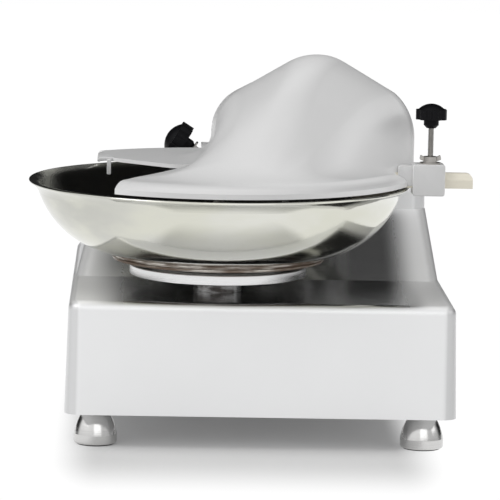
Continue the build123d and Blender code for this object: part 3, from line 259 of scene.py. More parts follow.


def bowl_material():
    """Spun and polished stainless steel: faint turning lines and a film of fat on it, with painted shade
    that darkens the inside below the rim and the bowl's left side.
    """
    material = bpy.data.materials.new("bowl_steel")
    n = Nodes(material)
    dx, dy = from_bowl_axis(n)
    rings = n.add("ShaderNodeTexNoise", noise_dimensions="1D")
    n.put(rings.inputs["W"], n.length(dx, dy))
    n.put(rings.inputs["Scale"], 1400.0)
    n.put(rings.inputs["Detail"], 2.0)
    cloud = n.noise(n.stretched(1, 1, 2.4), 11.0, 3.0)
    x, _, z = n.split(n.place())
    normal_x, normal_y, _ = n.split(n.facing())
    outwards = n.math("ADD", n.product(dx, normal_x), n.product(dy, normal_y))
    inner = n.fade(outwards, -0.004, 0.004)
    left_end = n.step(n.math("MULTIPLY_ADD", cloud, 0.03, x), *INSIDE_SHADE_LEFT_X)
    inside_shade = n.product(inner, n.fade(z, *INSIDE_SHADE_Z), left_end)
    film = n.product(n.math("SUBTRACT", inner, inside_shade), n.step(cloud, 0.35, 0.60))
    # painted shade: darker towards the left
    shade = n.mix(n.step(x, *BOWL_SHADE_LEFT_X), (0.54, 0.54, 0.50, 1), (0.72, 0.72, 0.67, 1))
    shade = n.mix(n.step(cloud, 0.35, 0.65), shade, (0.68, 0.68, 0.60, 1))
    # painted shade inside the bowl, below the rim
    shade = n.mix(inside_shade, shade, grey(0.22, 0.03))
    rough = n.math("MULTIPLY_ADD", film, 0.25, n.math("MULTIPLY_ADD", cloud, 0.10, 0.06))
    metal = n.math("MULTIPLY_ADD", film, -0.65, 1.0)
    waves = n.math("ADD", n.product(rings.outputs[0], 0.04), cloud)
    principled(n, color=shade, metallic=metal, roughness=rough, normal=n.bump(waves, 0.0006, 0.35))
    return material


def cast_material(name, low, high, rough, metallic, painted_light_grey=0.0):
    """Blasted casting; the optional grey is painted light that lightens the faces facing up and to the
    sides.
    """
    material = bpy.data.materials.new(name)
    n = Nodes(material)
    cloud = n.noise(n.place(), 14.0, 4.0, 0.55)
    grain = n.noise(n.place(), 1700.0, 2.0)
    shade = n.mix(cloud, grey(low), grey(high))
    if painted_light_grey:
        # painted light: the faces that face up and sideways are lightened
        normal_x, _, normal_z = n.split(n.facing())
        sides = n.step(n.math("ABSOLUTE", normal_x), 0.20, 0.85)
        lit_faces = n.math("MAXIMUM", n.step(normal_z, 0.60, 0.99), sides)
        shade = n.mix(lit_faces, shade, grey(painted_light_grey))
    level = n.math("MULTIPLY_ADD", cloud, 0.12, rough)
    normal = n.bump(n.math("MULTIPLY_ADD", cloud, 3.0, grain), 0.00012, 0.6)
    principled(n, color=shade, metallic=metallic, roughness=level, normal=normal)
    return material


def turned_material(name, low, high, rough, warm=0.0):
    """Metal turned on a lathe, with fine tool marks."""
    material = bpy.data.materials.new(name)
    n = Nodes(material)
    cloud = n.noise(n.place(), 30.0, 3.0)
    marks = n.noise(n.stretched(12, 12, 900), 1.0, 2.0)
    shade = n.mix(n.product(cloud, marks), grey(low, warm), grey(high, warm * 0.6))
    level = n.math("MULTIPLY_ADD", marks, 0.18, rough)
    principled(n, color=shade, metallic=1.0, roughness=level, normal=n.bump(marks, 0.0001, 0.5))
    return material


COLUMN_R, COLUMN_TOP_Z = (0.0295, 0.0315), (0.1700, 0.1712)     # the column under the lower disc
COLUMN_BARE_X = (-0.0150, -0.0125)      # the column is darkened less on its right side
NECK_R, NECK_Z = (0.060, 0.078), (0.1775, 0.1795)               # painted shade in the gap between the two discs
# dark grey for the painted shade in the gap and the column's darkened blots
DARKENED_GREY = (0.075, 0.066, 0.060, 1)


def disc_material():
    """Turned disc and column: bright faces, painted shade in the gap under the ring, and the column
    darkened in mottled blots, less on its right side.
    """
    material = bpy.data.materials.new("disc_steel")
    n = Nodes(material)
    radius = n.length(*from_bowl_axis(n))
    x, _, z = n.split(n.place())
    marks = n.noise(n.stretched(10, 10, 700), 1.0, 3.0)
    blots = n.noise(n.stretched(1, 1, 2.2), 55.0, 4.0, 0.6)
    column = n.product(n.fade(radius, *COLUMN_R), n.fade(z, *COLUMN_TOP_Z))
    # painted shade in the gap between the discs
    neck = n.product(n.fade(radius, *NECK_R), n.step(z, *NECK_Z))
    column_dark = n.product(column, n.step(blots, 0.30, 0.62, 0.45, 1.0))
    column_dark = n.product(column_dark, n.step(x, *COLUMN_BARE_X, 1.0, 0.45))
    dark = n.math("MAXIMUM", column_dark, neck)
    shade = n.mix(dark, n.mix(marks, grey(0.74), grey(0.86)), DARKENED_GREY)
    level = n.math("MULTIPLY_ADD", marks, 0.16, 0.20)
    metal = n.math("MULTIPLY_ADD", dark, -0.2, 0.9)
    principled(n, color=shade, metallic=metal, roughness=level, normal=n.bump(marks, 0.0001, 0.5))
    return material


RING_EDGE_R = (0.093, 0.0985)
RUST = (0.165, 0.118, 0.088, 1)


def ring_material():
    """Turned steel ring: bright faces, brown grease and rust in the grooves of its edge."""
    material = bpy.data.materials.new("ring_steel")
    n = Nodes(material)
    radius = n.length(*from_bowl_axis(n))
    spots = n.noise(n.stretched(30, 30, 260), 1.0, 4.0, 0.6)
    edge = n.step(radius, *RING_EDGE_R)
    rust = n.math("MULTIPLY", edge, n.step(spots, 0.30, 0.62), clamp=True)
    shade = n.mix(rust, grey(0.58, 0.12), RUST)
    level = n.math("MULTIPLY_ADD", rust, 0.35, 0.25)
    metallic = n.math("MULTIPLY_ADD", rust, -0.6, 1.0)
    principled(n, color=shade, metallic=metallic, roughness=level, normal=n.bump(spots, 0.0003, 0.7))
    return material


def plastic_material(name, color, rough, speckle=0.25, coat=0.0, specular=0.5):
    """Moulded plastic or rubber with a fine skin texture and slight soiling."""
    material = bpy.data.materials.new(name)
    n = Nodes(material)
    cloud = n.noise(n.place(), 40.0, 3.0)
    skin = n.noise(n.place(), 2600.0, 1.0)
    dark = tuple(c * (1 - speckle) for c in color) + (1,)
    light = tuple(min(1, c * (1 + speckle * 0.3)) for c in color) + (1,)
    level = n.math("MULTIPLY_ADD", cloud, 0.15, rough)
    principled(n, color=n.mix(cloud, dark, light), roughness=level, normal=n.bump(skin, 0.00005, 0.5),
               coat=coat, coat_roughness=0.15, specular=specular)
    return material


MATERIALS = {
    "housing": housing_material(),
    "bowl_steel": bowl_material(),
    # its last number is painted light on the faces that face up and sideways
    "lid_cast": cast_material("lid_cast", 0.58, 0.64, 0.29, 0.18, 0.84),
    "disc_steel": disc_material(),
    "ring_steel": ring_material(),
    "foot_chrome": turned_material("foot_chrome", 0.60, 0.78, 0.10, 0.02),
    "shaft_steel": turned_material("shaft_steel", 0.58, 0.72, 0.18),
    "knife_steel": turned_material("knife_steel", 0.70, 0.84, 0.14),
    "bearing_steel": turned_material("bearing_steel", 0.60, 0.74, 0.14),
    "screw_steel": turned_material("screw_steel", 0.34, 0.62, 0.26, 0.10),
    "switch_steel": turned_material("switch_steel", 0.60, 0.72, 0.26),
    "rotor_steel": turned_material("rotor_steel", 0.42, 0.55, 0.30),
    "capacitor": turned_material("capacitor", 0.68, 0.78, 0.22),
    "cast_grey": cast_material("cast_grey", 0.20, 0.30, 0.50, 0.5),
    "motor_paint": cast_material("motor_paint", 0.16, 0.20, 0.40, 0.0),
    "bronze": turned_material("bronze", 0.45, 0.60, 0.28, 0.55),
    "spacer_plastic": plastic_material("spacer_plastic", (0.86, 0.86, 0.84), 0.40, 0.06),
    "bar_cream": plastic_material("bar_cream", (0.76, 0.72, 0.61), 0.42, 0.05),
    "knob_black": plastic_material("knob_black", (0.003, 0.003, 0.004), 0.34, 0.3, 0.0, 0.12),
    "black_plastic": plastic_material("black_plastic", (0.02, 0.02, 0.021), 0.45),
    "pad_rubber": plastic_material("pad_rubber", (0.02, 0.02, 0.02), 0.65),
    "belt_rubber": plastic_material("belt_rubber", (0.025, 0.025, 0.025), 0.70),
    "button_green": plastic_material("button_green", (0.03, 0.30, 0.09), 0.25, 0.15, 0.3),
    "button_red": plastic_material("button_red", (0.45, 0.025, 0.02), 0.25, 0.15, 0.3),
}


def dress_nodes():
    """Gives each CAD node the material of its slot in the record."""
    slot_of = {piece["node"]: piece["material_slot"] for piece in frame["record"]["subparts"]}
    for name, node in frame["nodes"].items():
        material = MATERIALS[slot_of[name]]
        if not node.material_slots:
            node.data.materials.append(material)
        for slot in node.material_slots:
            slot.material = material


# ---- mesh helpers ---------------------------------------------------------------------
def add_circle(bm, centre, radius, z, count):
    """A level ring of points, in metres."""
    turns = [2 * math.pi * i / count for i in range(count)]
    return [bm.verts.new((centre[0] + radius * math.cos(a), centre[1] + radius * math.sin(a), z))
            for a in turns]


def bridge(bm, ring, next_ring):
    """The faces between two closed rings of as many points."""
    count = len(ring)
    faces = []
    for i in range(count):
        j = (i + 1) % count
        faces.append(bm.faces.new((ring[i], ring[j], next_ring[j], next_ring[i])))
    return faces


def piece_from(bm, name, sharp):
    """A smooth piece that keeps its edges crisp where they turn by more than sharp degrees."""
    mesh = bpy.data.meshes.new(name)
    bm.to_mesh(mesh)
    bm.free()
    mesh.shade_smooth()
    mesh.set_sharp_from_angle(angle=math.radians(sharp))
    return linked(name, mesh)


def stand_for(piece, node, body, slot):
    """The piece rides on a body, takes a slot's finish and stands for a CAD node."""
    piece.data.materials.append(MATERIALS[slot])
    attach(piece, body)
    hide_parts(node)


# ---- discs under the bowl -------------------------------------------------------------
DISC_STEPS = 192
RING_OUTLINE = (       # (radius, height) in millimetres, with two worn grooves in the edge
    (27.2, 186.4), (60, 186.4), (109.2, 186.2), (110.6, 186.7), (111.2, 187.6), (111.2, 189.0),
    (110.1, 189.4), (109.5, 189.8), (109.5, 190.4), (110.2, 190.8), (110.5, 191.4), (110.5, 192.4),
    (109.8, 192.8), (109.0, 193.0), (108.9, 193.6), (109.6, 194.0), (109.6, 194.6), (108.8, 195.0),
    (104.5, 195.0), (104.0, 192.2), (27.2, 192.2),
)
TABLE_OUTLINE = (      # the lower disc, its raised neck and the hub inside the bowl's post
    (10.0, 171.7), (60, 171.7), (88, 170.4), (91.5, 170.4), (92.6, 170.9), (92.9, 171.7), (92.9, 179.8),
    (92.4, 180.5), (91.4, 180.8), (86, 180.8), (83, 179.6), (68.6, 179.6), (68.0, 180.2), (68.0, 186.3),
    (27.0, 186.4), (22, 190), (15, 226), (10.0, 226),
)


def lathe(name, outline):
    """A piece turned about the bowl's axis from a closed outline."""
    bm = bmesh.new()
    rings = [add_circle(bm, BOWL_AXIS, radius / 1000, z / 1000, DISC_STEPS) for radius, z in outline]
    for ring, next_ring in zip(rings, rings[1:] + rings[:1]):
        bridge(bm, ring, next_ring)
    bmesh.ops.recalc_face_normals(bm, faces=bm.faces)
    return piece_from(bm, name, 32)


def make_discs():
    """The ring under the bowl and the turntable below it."""
    stand_for(lathe("bowl_ring_turned", RING_OUTLINE), "bowl_ring", "bowl_set", "ring_steel")
    stand_for(lathe("turntable_turned", TABLE_OUTLINE), "turntable", "bowl_set", "disc_steel")


# ---- the clamp's screw ----------------------------------------------------------------
THREAD_Z = 0.300                  # where the thread starts
THREAD_PITCH = 0.00125
THREAD_TURNS = 26
THREAD_STEPS = 28                 # points in a turn
THREAD_R, CORE_R = 0.0030, 0.00245
THREAD_OUTLINE = ((0.0, CORE_R), (0.30, CORE_R), (0.45, THREAD_R), (0.75, THREAD_R), (0.90, CORE_R))
ROD_CHAMFER = 0.0006
ROD_END_SHARE = 0.8               # radius of a rod's end face, as a share of the rod's


def add_rod(bm, centre, bottom, top, radius):
    """An upright rod with chamfered ends."""
    rings = []
    for z, share in ((bottom, ROD_END_SHARE), (bottom + ROD_CHAMFER, 1.0),
                     (top - ROD_CHAMFER, 1.0), (top, ROD_END_SHARE)):
        rings.append(add_circle(bm, centre, radius * share, z, THREAD_STEPS))
    bm.faces.new(rings[0][::-1])
    bm.faces.new(rings[-1])
    for ring, next_ring in zip(rings, rings[1:]):
        bridge(bm, ring, next_ring)


def make_clamp_rod():
    """The clamp's screw: a plain tip, a real thread above the block, and the shank inside the knob."""
    low_corner, high_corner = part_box("clamp_screw")
    x, y = [(a + b) / 2 for a, b in zip(low_corner[:2], high_corner[:2])]
    bm = bmesh.new()
    rows = []
    for i in range(THREAD_TURNS * THREAD_STEPS + 1):
        turn = 2 * math.pi * i / THREAD_STEPS
        z = THREAD_Z + THREAD_PITCH * i / THREAD_STEPS
        row = []
        for share, radius in THREAD_OUTLINE:
            place = (x + radius * math.cos(turn), y + radius * math.sin(turn), z + THREAD_PITCH * share)
            row.append(bm.verts.new(place))
        rows.append(row)
    for near, far in zip(rows, rows[1:]):
        for i in range(len(THREAD_OUTLINE) - 1):
            bm.faces.new((near[i], far[i], far[i + 1], near[i + 1]))
    next_turn = rows[THREAD_STEPS:]
    for near, far, near_above, far_above in zip(rows, rows[1:], next_turn, next_turn[1:]):
        bm.faces.new((near[-1], far[-1], far_above[0], near_above[0]))
    add_rod(bm, (x, y), low_corner[2], THREAD_Z + 0.001, THREAD_R)
    add_rod(bm, (x, y), THREAD_Z - 0.0004, high_corner[2], CORE_R)
    bmesh.ops.recalc_face_normals(bm, faces=bm.faces)
    stand_for(piece_from(bm, "clamp_screw_threaded", 30), "clamp_screw", "clamp_spindle", "screw_steel")


# ---- the lid's knob -------------------------------------------------------------------
LOCK_KNOB_SCALE = 1.28
LOCK_KNOB_SHIFT = Vector((-0.004, 0.0, -0.0005))


def make_lock_knob():
    """The star knob on the swing bolt is a size larger than the one on the clamp."""
    low_corner, high_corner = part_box("lock_knob")
    centre = Vector([(a + b) / 2 for a, b in zip(low_corner, high_corner)])
    mesh = frame["nodes"]["lock_knob"].data.copy()
    mesh.name = "lock_knob_star"
    mesh.materials.clear()
    for vert in mesh.vertices:
        vert.co = centre + (vert.co - centre) * LOCK_KNOB_SCALE + LOCK_KNOB_SHIFT
    stand_for(linked("lock_knob_star", mesh), "lock_knob", "bolt_knob", "knob_black")


# ---- lid: its shape -------------------------------------------------------------------
FLAT_Z, FLAT_R = 285.0, 180.0          # the lid's flat top face, inside its skirt
LID_R, BULGE_X = 197.0, 203.4          # the skirt's edge, which the bell carries out further on the right
SKIRT = ((0.35, 0.8), (0.62, 2.6), (0.85, 5.2), (1.0, 8.0), (1.0, 13.2))   # (share of the width, drop)
SHEET_T = 4.0

BELL_H = 120.4                         # the bell's height above the flat
BELL_FALL = 0.128                      # share of it that is lost towards the back
TOE_Y, FULL_Y, BACK_Y = -181.0, -20.0, 96.0     # the front slope's toe and head, and the back wall
BACK_ROUND, BACK_FILLET, BACK_LEAN = 7.0, 6.0, 0.6
CREST_X = 99.5
SIDE_X = (-20.0, -7.7)                 # the bell's left side, at the toe and where it is full
FOOT_X = (-150.0, -52.0)               # where its flare meets the flat, at the same places
FLARE = 46.0                           # the width that the flare's curve is drawn for
LEFT_SHOULDER, RIGHT_SHOULDER = 0.76, 0.782     # the shoulder's distance from the crest, of the side's
CREST_SHARE = 0.27                     # the round crest's half width, of the side's
FLAT_STEPS = 10                        # points on the flat, left of the flare

FRONT_ROWS, TOP_ROWS, ROUND_ROWS, WALL_ROWS, FILLET_ROWS, REAR_ROWS = 76, 12, 8, 5, 6, 20


def lerp(a, b, share):
    return a + (b - a) * share


def smooth(t):
    t = min(1.0, max(0.0, t))
    return t * t * (3 - 2 * t)


def half_outline(foot, side, fullness, crisp, shoulder_share):
    """One half of the bell from its foot to its crest: (distance from the crest, share of the height).

    fullness 1 is the bell's upright side with its round shoulder, and 0 a gentle slope. crisp makes
    that slope leave the flat at once.
    """
    shoulder, crest = shoulder_share * side, CREST_SHARE * side
    curves = (         # how many points, and the four control points of each curve
        (12, (foot, 0), (lerp(foot, side, 0.5), 0.004), (side + 1.6 * (foot - side) / FLARE, 0.06),
         (side, 0.22)),
        (2, (side, 0.22), (side, 0.24), (side, 0.26), (side, 0.28)),
        (12, (side, 0.28), (side, 0.44), (side * 0.905, 0.60), (shoulder, 0.68)),
        (6, (shoulder, 0.68), (lerp(shoulder, crest, 1 / 3), 0.767), (lerp(shoulder, crest, 2 / 3), 0.853),
         (crest, 0.94)),
        (8, (crest, 0.94), (crest * 0.66, 0.985), (crest / 3, 1.0), (0, 1.0)),
    )
    full = []
    for count, *controls in curves:
        for i in range(count):
            t = i / count
            weights = ((1 - t) ** 3, 3 * t * (1 - t) ** 2, 3 * t * t * (1 - t), t ** 3)
            full.append(tuple(sum(w * p[axis] for w, p in zip(weights, controls)) for axis in (0, 1)))
    full.append((0.0, 1.0))
    half = []
    for i, (distance, share) in enumerate(full):
        t = i / (len(full) - 1)
        gentle = lerp(smooth(t), 1 - (1 - t) ** 2, crisp)
        half.append((lerp(foot * (1 - t), distance, fullness), lerp(gentle, share, fullness)))
    return half


def bell_stations():
    """Rows across the lid from front to back, as (y, share of the front slope, height of the crest)."""
    rows = []
    for i in range(FRONT_ROWS):
        y = -FLAT_R * math.cos(math.pi / 2 * (i + 0.2) / FRONT_ROWS * 0.93)
        share = min(1.0, max(0.0, (y - TOE_Y) / (FULL_Y - TOE_Y)))
        rows.append((y, share, BELL_H * smooth(share)))
    for i in range(1, TOP_ROWS + 1):
        y = lerp(FULL_Y, BACK_Y - BACK_ROUND, i / TOP_ROWS)
        rows.append((y, 1.0, BELL_H * (1 - BELL_FALL * (y - FULL_Y) / (BACK_Y - FULL_Y))))
    top = rows[-1][2]
    for i in range(1, ROUND_ROWS + 1):
        a = math.pi / 2 * i / ROUND_ROWS
        rows.append((BACK_Y - BACK_ROUND * (1 - math.sin(a)), 1.0, top - BACK_ROUND * (1 - math.cos(a))))
    for i in range(1, WALL_ROWS + 1):
        height = lerp(top - BACK_ROUND, BACK_FILLET, i / WALL_ROWS)
        rows.append((BACK_Y + BACK_LEAN * i / WALL_ROWS, 1.0, height))
    for i in range(1, FILLET_ROWS + 1):
        a = math.pi / 2 * i / FILLET_ROWS
        y = BACK_Y + BACK_LEAN + BACK_FILLET * (1 - math.cos(a))
        rows.append((y, 1.0, BACK_FILLET * (1 - math.sin(a))))
    for i in range(1, REAR_ROWS + 1):
        share = math.sin(math.pi / 2 * i / REAR_ROWS)
        rows.append((lerp(BACK_Y + BACK_LEAN + BACK_FILLET, FLAT_R - 0.3, share), 1.0, 0.0))
    return rows


def lid_row(y, share, height):
    """Points of one row from the skirt on the left, over the bell, to the skirt on the right."""
    chord = math.sqrt(FLAT_R ** 2 - y * y)
    bulge = share ** 6 * (1 - smooth((y - BACK_Y - BACK_LEAN) / BACK_ROUND))
    fullness = share ** 1.3
    right = lerp(chord, BULGE_X - 0.3, bulge)
    foot = max(lerp(*FOOT_X, share ** 0.8), -chord * 0.96)
    side = lerp(*SIDE_X, share ** 0.4)
    crest = max(lerp((side + right) / 2, CREST_X, bulge), lerp(foot, right, 0.4))
    left_reach, right_reach = crest - min(side, lerp(foot, crest, 0.9)), right - crest
    left_half = half_outline(crest - foot, left_reach, fullness, 0.0, LEFT_SHOULDER)
    right_half = half_outline(right_reach, right_reach * 0.999, fullness, 0.75 * (1 - share),
                              RIGHT_SHOULDER)
    outline = [(lerp(-chord, foot, i / FLAT_STEPS), 0.0) for i in range(FLAT_STEPS)]
    outline += [(crest - distance, part) for distance, part in left_half]
    outline += [(crest + distance, part) for distance, part in right_half[-2::-1]]
    even = smooth((y - BACK_Y - 8) / 40)       # behind the bell the points spread out evenly
    last = len(outline) - 1
    row = [(lerp(x, lerp(-chord, chord, i / last), even), y, FLAT_Z + height * part)
           for i, (x, part) in enumerate(outline)]
    turn = math.atan2(y, chord)
    left_skirt, right_skirt = [], []
    for width, drop in SKIRT:
        r = lerp(FLAT_R, LID_R, width)
        edge_x, edge_y, z = r * math.cos(turn), r * math.sin(turn), FLAT_Z - drop
        left_skirt.append((-edge_x, edge_y, z))
        right_skirt.append((lerp(edge_x, lerp(right, BULGE_X, width), bulge), lerp(edge_y, y, bulge), z))
    return left_skirt[::-1] + row + right_skirt


# ---- lid: cutting and building --------------------------------------------------------
def arc(centre, radius, start, end, steps):
    turns = [math.radians(lerp(start, end, i / steps)) for i in range(steps + 1)]
    return [(centre[0] + radius * math.cos(t), centre[1] + radius * math.sin(t)) for t in turns]


def rounded(points, radius, steps=5):
    """The polygon with its corners rounded."""
    result = []
    count = len(points)
    for i, corner in enumerate(points):
        here = Vector(corner)
        to_last = (Vector(points[i - 1]) - here).normalized()
        to_next = (Vector(points[(i + 1) % count]) - here).normalized()
        reach = radius / math.tan(to_last.angle(to_next) / 2)
        start, end = here + to_last * reach, here + to_next * reach
        for k in range(steps + 1):
            t = k / steps
            result.append(tuple((1 - t) ** 2 * start + 2 * t * (1 - t) * here + t * t * end))
    return result


def rectangle(left, bottom, right, top):
    return [(left, bottom), (right, bottom), (right, top), (left, top)]


def inside(point, polygon):
    hit = False
    for a, b in zip(polygon, polygon[1:] + polygon[:1]):
        if (a[1] > point[1]) != (b[1] > point[1]):
            if point[0] < a[0] + (b[0] - a[0]) * (point[1] - a[1]) / (b[1] - a[1]):
                hit = not hit
    return hit


CUT_MARGIN = 14.0      # faces this far beyond a side's ends are still cut along it


def cut_out(bm, polygon, flat, within):
    """Cuts the sheet along a polygon and takes away what is inside it.

    flat picks the polygon's two axes, and within says which faces may be cut.
    """
    for a, b in zip(polygon, polygon[1:] + polygon[:1]):
        middle = (Vector(a) + Vector(b)) / 2
        reach = (Vector(b) - Vector(a)).length / 2 + CUT_MARGIN
        faces = []
        for face in bm.faces:
            at = face.calc_center_median()
            if within(at) and (Vector((at[flat[0]], at[flat[1]])) - middle).length < reach:
                faces.append(face)
        geometry = set(faces)
        for face in faces:
            geometry.update(face.edges)
            geometry.update(face.verts)
        point, normal = Vector((0, 0, 0)), Vector((0, 0, 0))
        point[flat[0]], point[flat[1]] = a
        normal[flat[0]], normal[flat[1]] = a[1] - b[1], b[0] - a[0]
        if normal.length > 1e-6 and faces:
            bmesh.ops.bisect_plane(bm, geom=list(geometry), dist=0.02, plane_co=point,
                                   plane_no=normal.normalized())
    gone = []
    for face in bm.faces:
        at = face.calc_center_median()
        if within(at) and inside((at[flat[0]], at[flat[1]]), polygon):
            gone.append(face)
    bmesh.ops.delete(bm, geom=gone, context="FACES")


def prism(bm, outline, flat, low, high, bevel):
    """Closed block with its edges rounded: an outline in two axes, drawn out along the third."""
    third = 3 - flat[0] - flat[1]
    ends = []
    for level in (low, high):
        ring = []
        for a, b in outline:
            place = [0.0, 0.0, 0.0]
            place[flat[0]], place[flat[1]], place[third] = a, b, level
            ring.append(bm.verts.new(place))
        ends.append(ring)
    faces = [bm.faces.new(ends[0]), bm.faces.new(ends[1])] + bridge(bm, *ends)
    bmesh.ops.recalc_face_normals(bm, faces=faces)
    edges = {edge for face in faces for edge in face.edges if edge.calc_face_angle(0) > 0.6}
    bmesh.ops.bevel(bm, geom=list(edges), offset=bevel, segments=3, profile=0.5, affect="EDGES",
                    clamp_overlap=True)


# ---- lid: its pieces ------------------------------------------------------------------
XY, XZ, YZ = (0, 1), (0, 2), (1, 2)
OPENING = ((-26, -20), (-42, -62), (-101, -152), (-158, -244), (-330, -244), (-330, 230), (-146, 230),
           (-112, 58))                 # the wedge that the lid leaves open at the left
KNIFE_X, KNIFE_Z = 98.5, 288.5
TUNNEL_IN_R, TUNNEL_OUT_R = 30, 34     # the half round tunnel over the knife shaft
TUNNEL_Y, TUNNEL_LOW_Z = (92.5, 196), 281.5
ARM_XS, ARM_T = (46.5, 142.5), 8       # the two hinge arms
HINGE = (230, 300)
SLOT_R, LOCK_Y = 4.8, 222              # the swing bolt's slot, open to the left
TAB_X, TAB_Y, TAB_Z = (-16, 8), (163, 233), (281.2, 286)
BLOCK_X, BLOCK_Y, BLOCK_Z = (199, 232.5), (-58, -32), (262.8, 295.5)     # the scraper's clamp block


def add_sheet(bm):
    """The lid's outer face, from the skirt over the bell, as one sheet."""
    rows = [[bm.verts.new(point) for point in lid_row(*station)] for station in bell_stations()]
    for near, far in zip(rows, rows[1:]):
        for i in range(len(near) - 1):
            bm.faces.new((near[i], near[i + 1], far[i + 1], far[i]))
    for row, turned in ((rows[0], False), (rows[-1], True)):
        for i in range(len(row) // 2):
            corners = list(dict.fromkeys((row[i], row[i + 1], row[-i - 2], row[-i - 1])))
            bm.faces.new(corners if turned else corners[::-1])
    bmesh.ops.remove_doubles(bm, verts=bm.verts, dist=0.01)
    bmesh.ops.recalc_face_normals(bm, faces=bm.faces)
    crest = max(bm.faces, key=lambda face: face.calc_center_median().z)
    if crest.normal.z < 0:
        bmesh.ops.reverse_faces(bm, faces=bm.faces)


def cut_openings(bm):
    """The open wedge, and the arch in the bell's back wall for the knife shaft."""
    cut_out(bm, rounded(OPENING, 3), XY, lambda at: at.x < 5)
    left, right, low = KNIFE_X - TUNNEL_IN_R, KNIFE_X + TUNNEL_IN_R, 250
    arch = [(left, low), (left, KNIFE_Z)] + arc((KNIFE_X, KNIFE_Z), TUNNEL_IN_R, 180, 0, 16)[1:]
    cut_out(bm, arch + [(right, low)], XZ, lambda at: at.y > 85)


def add_rear_fittings(bm):
    """The shaft tunnel, the two hinge arms and the tab with the swing bolt's slot."""
    knife = (KNIFE_X, KNIFE_Z)
    tunnel = [(KNIFE_X + TUNNEL_OUT_R, TUNNEL_LOW_Z)] + arc(knife, TUNNEL_OUT_R, 0, 180, 20)
    tunnel += [(KNIFE_X - TUNNEL_OUT_R, TUNNEL_LOW_Z), (KNIFE_X - TUNNEL_IN_R, TUNNEL_LOW_Z)]
    tunnel += arc(knife, TUNNEL_IN_R, 180, 0, 20) + [(KNIFE_X + TUNNEL_IN_R, TUNNEL_LOW_Z)]
    prism(bm, tunnel, XZ, *TUNNEL_Y, 0.6)
    arm = [(120, 283), (120, 299), (216, 310.5)] + arc(HINGE, 13, 130, -120, 20) + [(182, 282)]
    for x in ARM_XS:
        prism(bm, arm, YZ, x, x + ARM_T, 0.9)
    tab = rectangle(TAB_X[0], TAB_Y[0], TAB_X[1], TAB_Y[1]) + [(TAB_X[0], LOCK_Y + SLOT_R)]
    tab += arc((-SLOT_R, LOCK_Y), SLOT_R, 90, -90, 8) + [(TAB_X[0], LOCK_Y - SLOT_R)]
    prism(bm, tab, XY, *TAB_Z, 0.6)


def add_side_fittings(bm):
    """The hook and the leg under the rear left plate, and the clamp block with its neck."""
    hook = [(-110, 284.9), (-126, 284.9), (-129, 283.6), (-129.5, 281), (-127.5, 280), (-125, 281.4),
            (-110, 281.1)]
    prism(bm, hook, XZ, 60, 118, 0.5)
    prism(bm, rounded(rectangle(-119, 267, -114.5, 283), 1.2, 3), XZ, 57, 66, 0.5)
    block = rectangle(BLOCK_X[0], BLOCK_Z[0], BLOCK_X[1], BLOCK_Z[1])
    prism(bm, rounded(block, 3, 4), XZ, *BLOCK_Y, 1.0)
    prism(bm, rounded(rectangle(184, 272.5, 205, 293.5), 3, 4), XZ, -52, -33, 0.8)


def make_lid():
    """The cast lid: one smooth sheet from the rim over the bell, with its fittings."""
    bm = bmesh.new()
    add_sheet(bm)
    cut_openings(bm)
    bmesh.ops.solidify(bm, geom=bm.faces, thickness=SHEET_T)
    add_rear_fittings(bm)
    add_side_fittings(bm)
    for vert in bm.verts:
        x, y, z = vert.co
        vert.co = (x / 1000 + BOWL_AXIS[0], y / 1000 + BOWL_AXIS[1], z / 1000)
    stand_for(piece_from(bm, "lid_casting", 38), "cover", "lid", "lid_cast")


# ---- stage ----------------------------------------------------------------------------
FLOOR_HALF = 7.0
SHADOW_X, SHADOW_FADE_X = 0.150, 0.055          # round the feet the floor is paper with a shadow,
SHADOW_Y, SHADOW_FADE_Y = 0.20, 0.19            # and it fades to white further out
SHADOW_MIDDLE_Y = -0.05


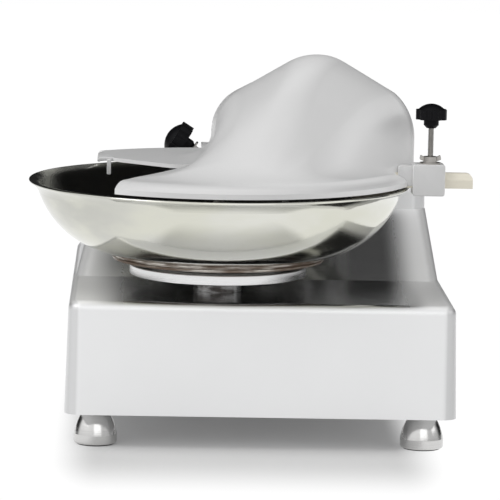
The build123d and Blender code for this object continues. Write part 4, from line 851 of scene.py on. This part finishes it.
def make_floor():
    mesh = bpy.data.meshes.new("floor")
    corners = [(x, y, 0) for x, y in rectangle(-FLOOR_HALF, -FLOOR_HALF, FLOOR_HALF, FLOOR_HALF)]
    mesh.from_pydata(corners, [], [(0, 1, 2, 3)])
    floor = linked("floor", mesh)
    material = bpy.data.materials.new("floor_paper")
    n = Nodes(material)
    paper = n.surface("ShaderNodeBsdfDiffuse", Color=grey(0.64))
    white = n.surface("ShaderNodeEmission", Color=grey(1.0), Strength=1.02)
    x, y, _ = n.split(n.place())
    y = n.math("SUBTRACT", y, SHADOW_MIDDLE_Y)
    beyond = []
    for along, edge, fade in ((x, SHADOW_X, SHADOW_FADE_X), (y, SHADOW_Y, SHADOW_FADE_Y)):
        outside = n.product(n.math("SUBTRACT", n.math("ABSOLUTE", along), edge), 1 / fade)
        beyond.append(n.math("MAXIMUM", outside, 0.0))
    far = n.step(n.length(*beyond), 0.0, 1.0, 0.10, 1.0)
    rays = n.add("ShaderNodeLightPath").outputs
    seen = n.product(far, n.math("MAXIMUM", rays["Is Camera Ray"], rays["Is Glossy Ray"]))
    n.finish(n.blend(seen, paper, white))
    floor.data.materials.append(material)


def make_world():
    """A pale studio: bright above and to the left, dim behind, white where the camera sees it."""
    studio = bpy.data.worlds.new("studio")
    scene.world = studio
    n = Nodes(studio)
    x, y, z = n.split(n.add("ShaderNodeTexCoord").outputs["Generated"])
    room = n.step(z, -0.10, 0.60, 0.70, 1.02)
    side = n.step(x, -0.9, 0.9, 1.16, 0.74)
    behind = n.step(y, 0.05, 0.45, 1.0, 0.03)
    strength = n.product(room, side, behind)
    surroundings = n.surface("ShaderNodeBackground", Color=grey(1.0), Strength=strength)
    white = n.surface("ShaderNodeBackground", Color=grey(1.0))
    seen = n.add("ShaderNodeLightPath").outputs["Is Camera Ray"]
    n.finish(n.blend(seen, surroundings, white), "ShaderNodeOutputWorld")


LAMPS_AIM = Vector((0, 0, 0.2))
LAMPS = (              # name, place, width and height, power in watts
    ("key_light", (-2.4, -1.5, 2.4), (1.5, 1.5), 27),
    ("front_light", (0.6, -3.2, 1.5), (2.4, 1.4), 9),
    ("fill_light", (2.6, -0.8, 1.6), (1.4, 1.4), 5),
)


def make_lamps():
    for name, at, size, power in LAMPS:
        data = bpy.data.lights.new(name, "AREA")
        data.shape = "RECTANGLE"
        data.size, data.size_y = size
        data.energy = power
        lamp = linked(name, data)
        lamp.location = at
        lamp.rotation_euler = (LAMPS_AIM - Vector(at)).to_track_quat("-Z", "Y").to_euler()


make_camera()
dress_nodes()
make_discs()
make_clamp_rod()
make_lock_knob()
make_lid()
make_floor()
make_world()
make_lamps()
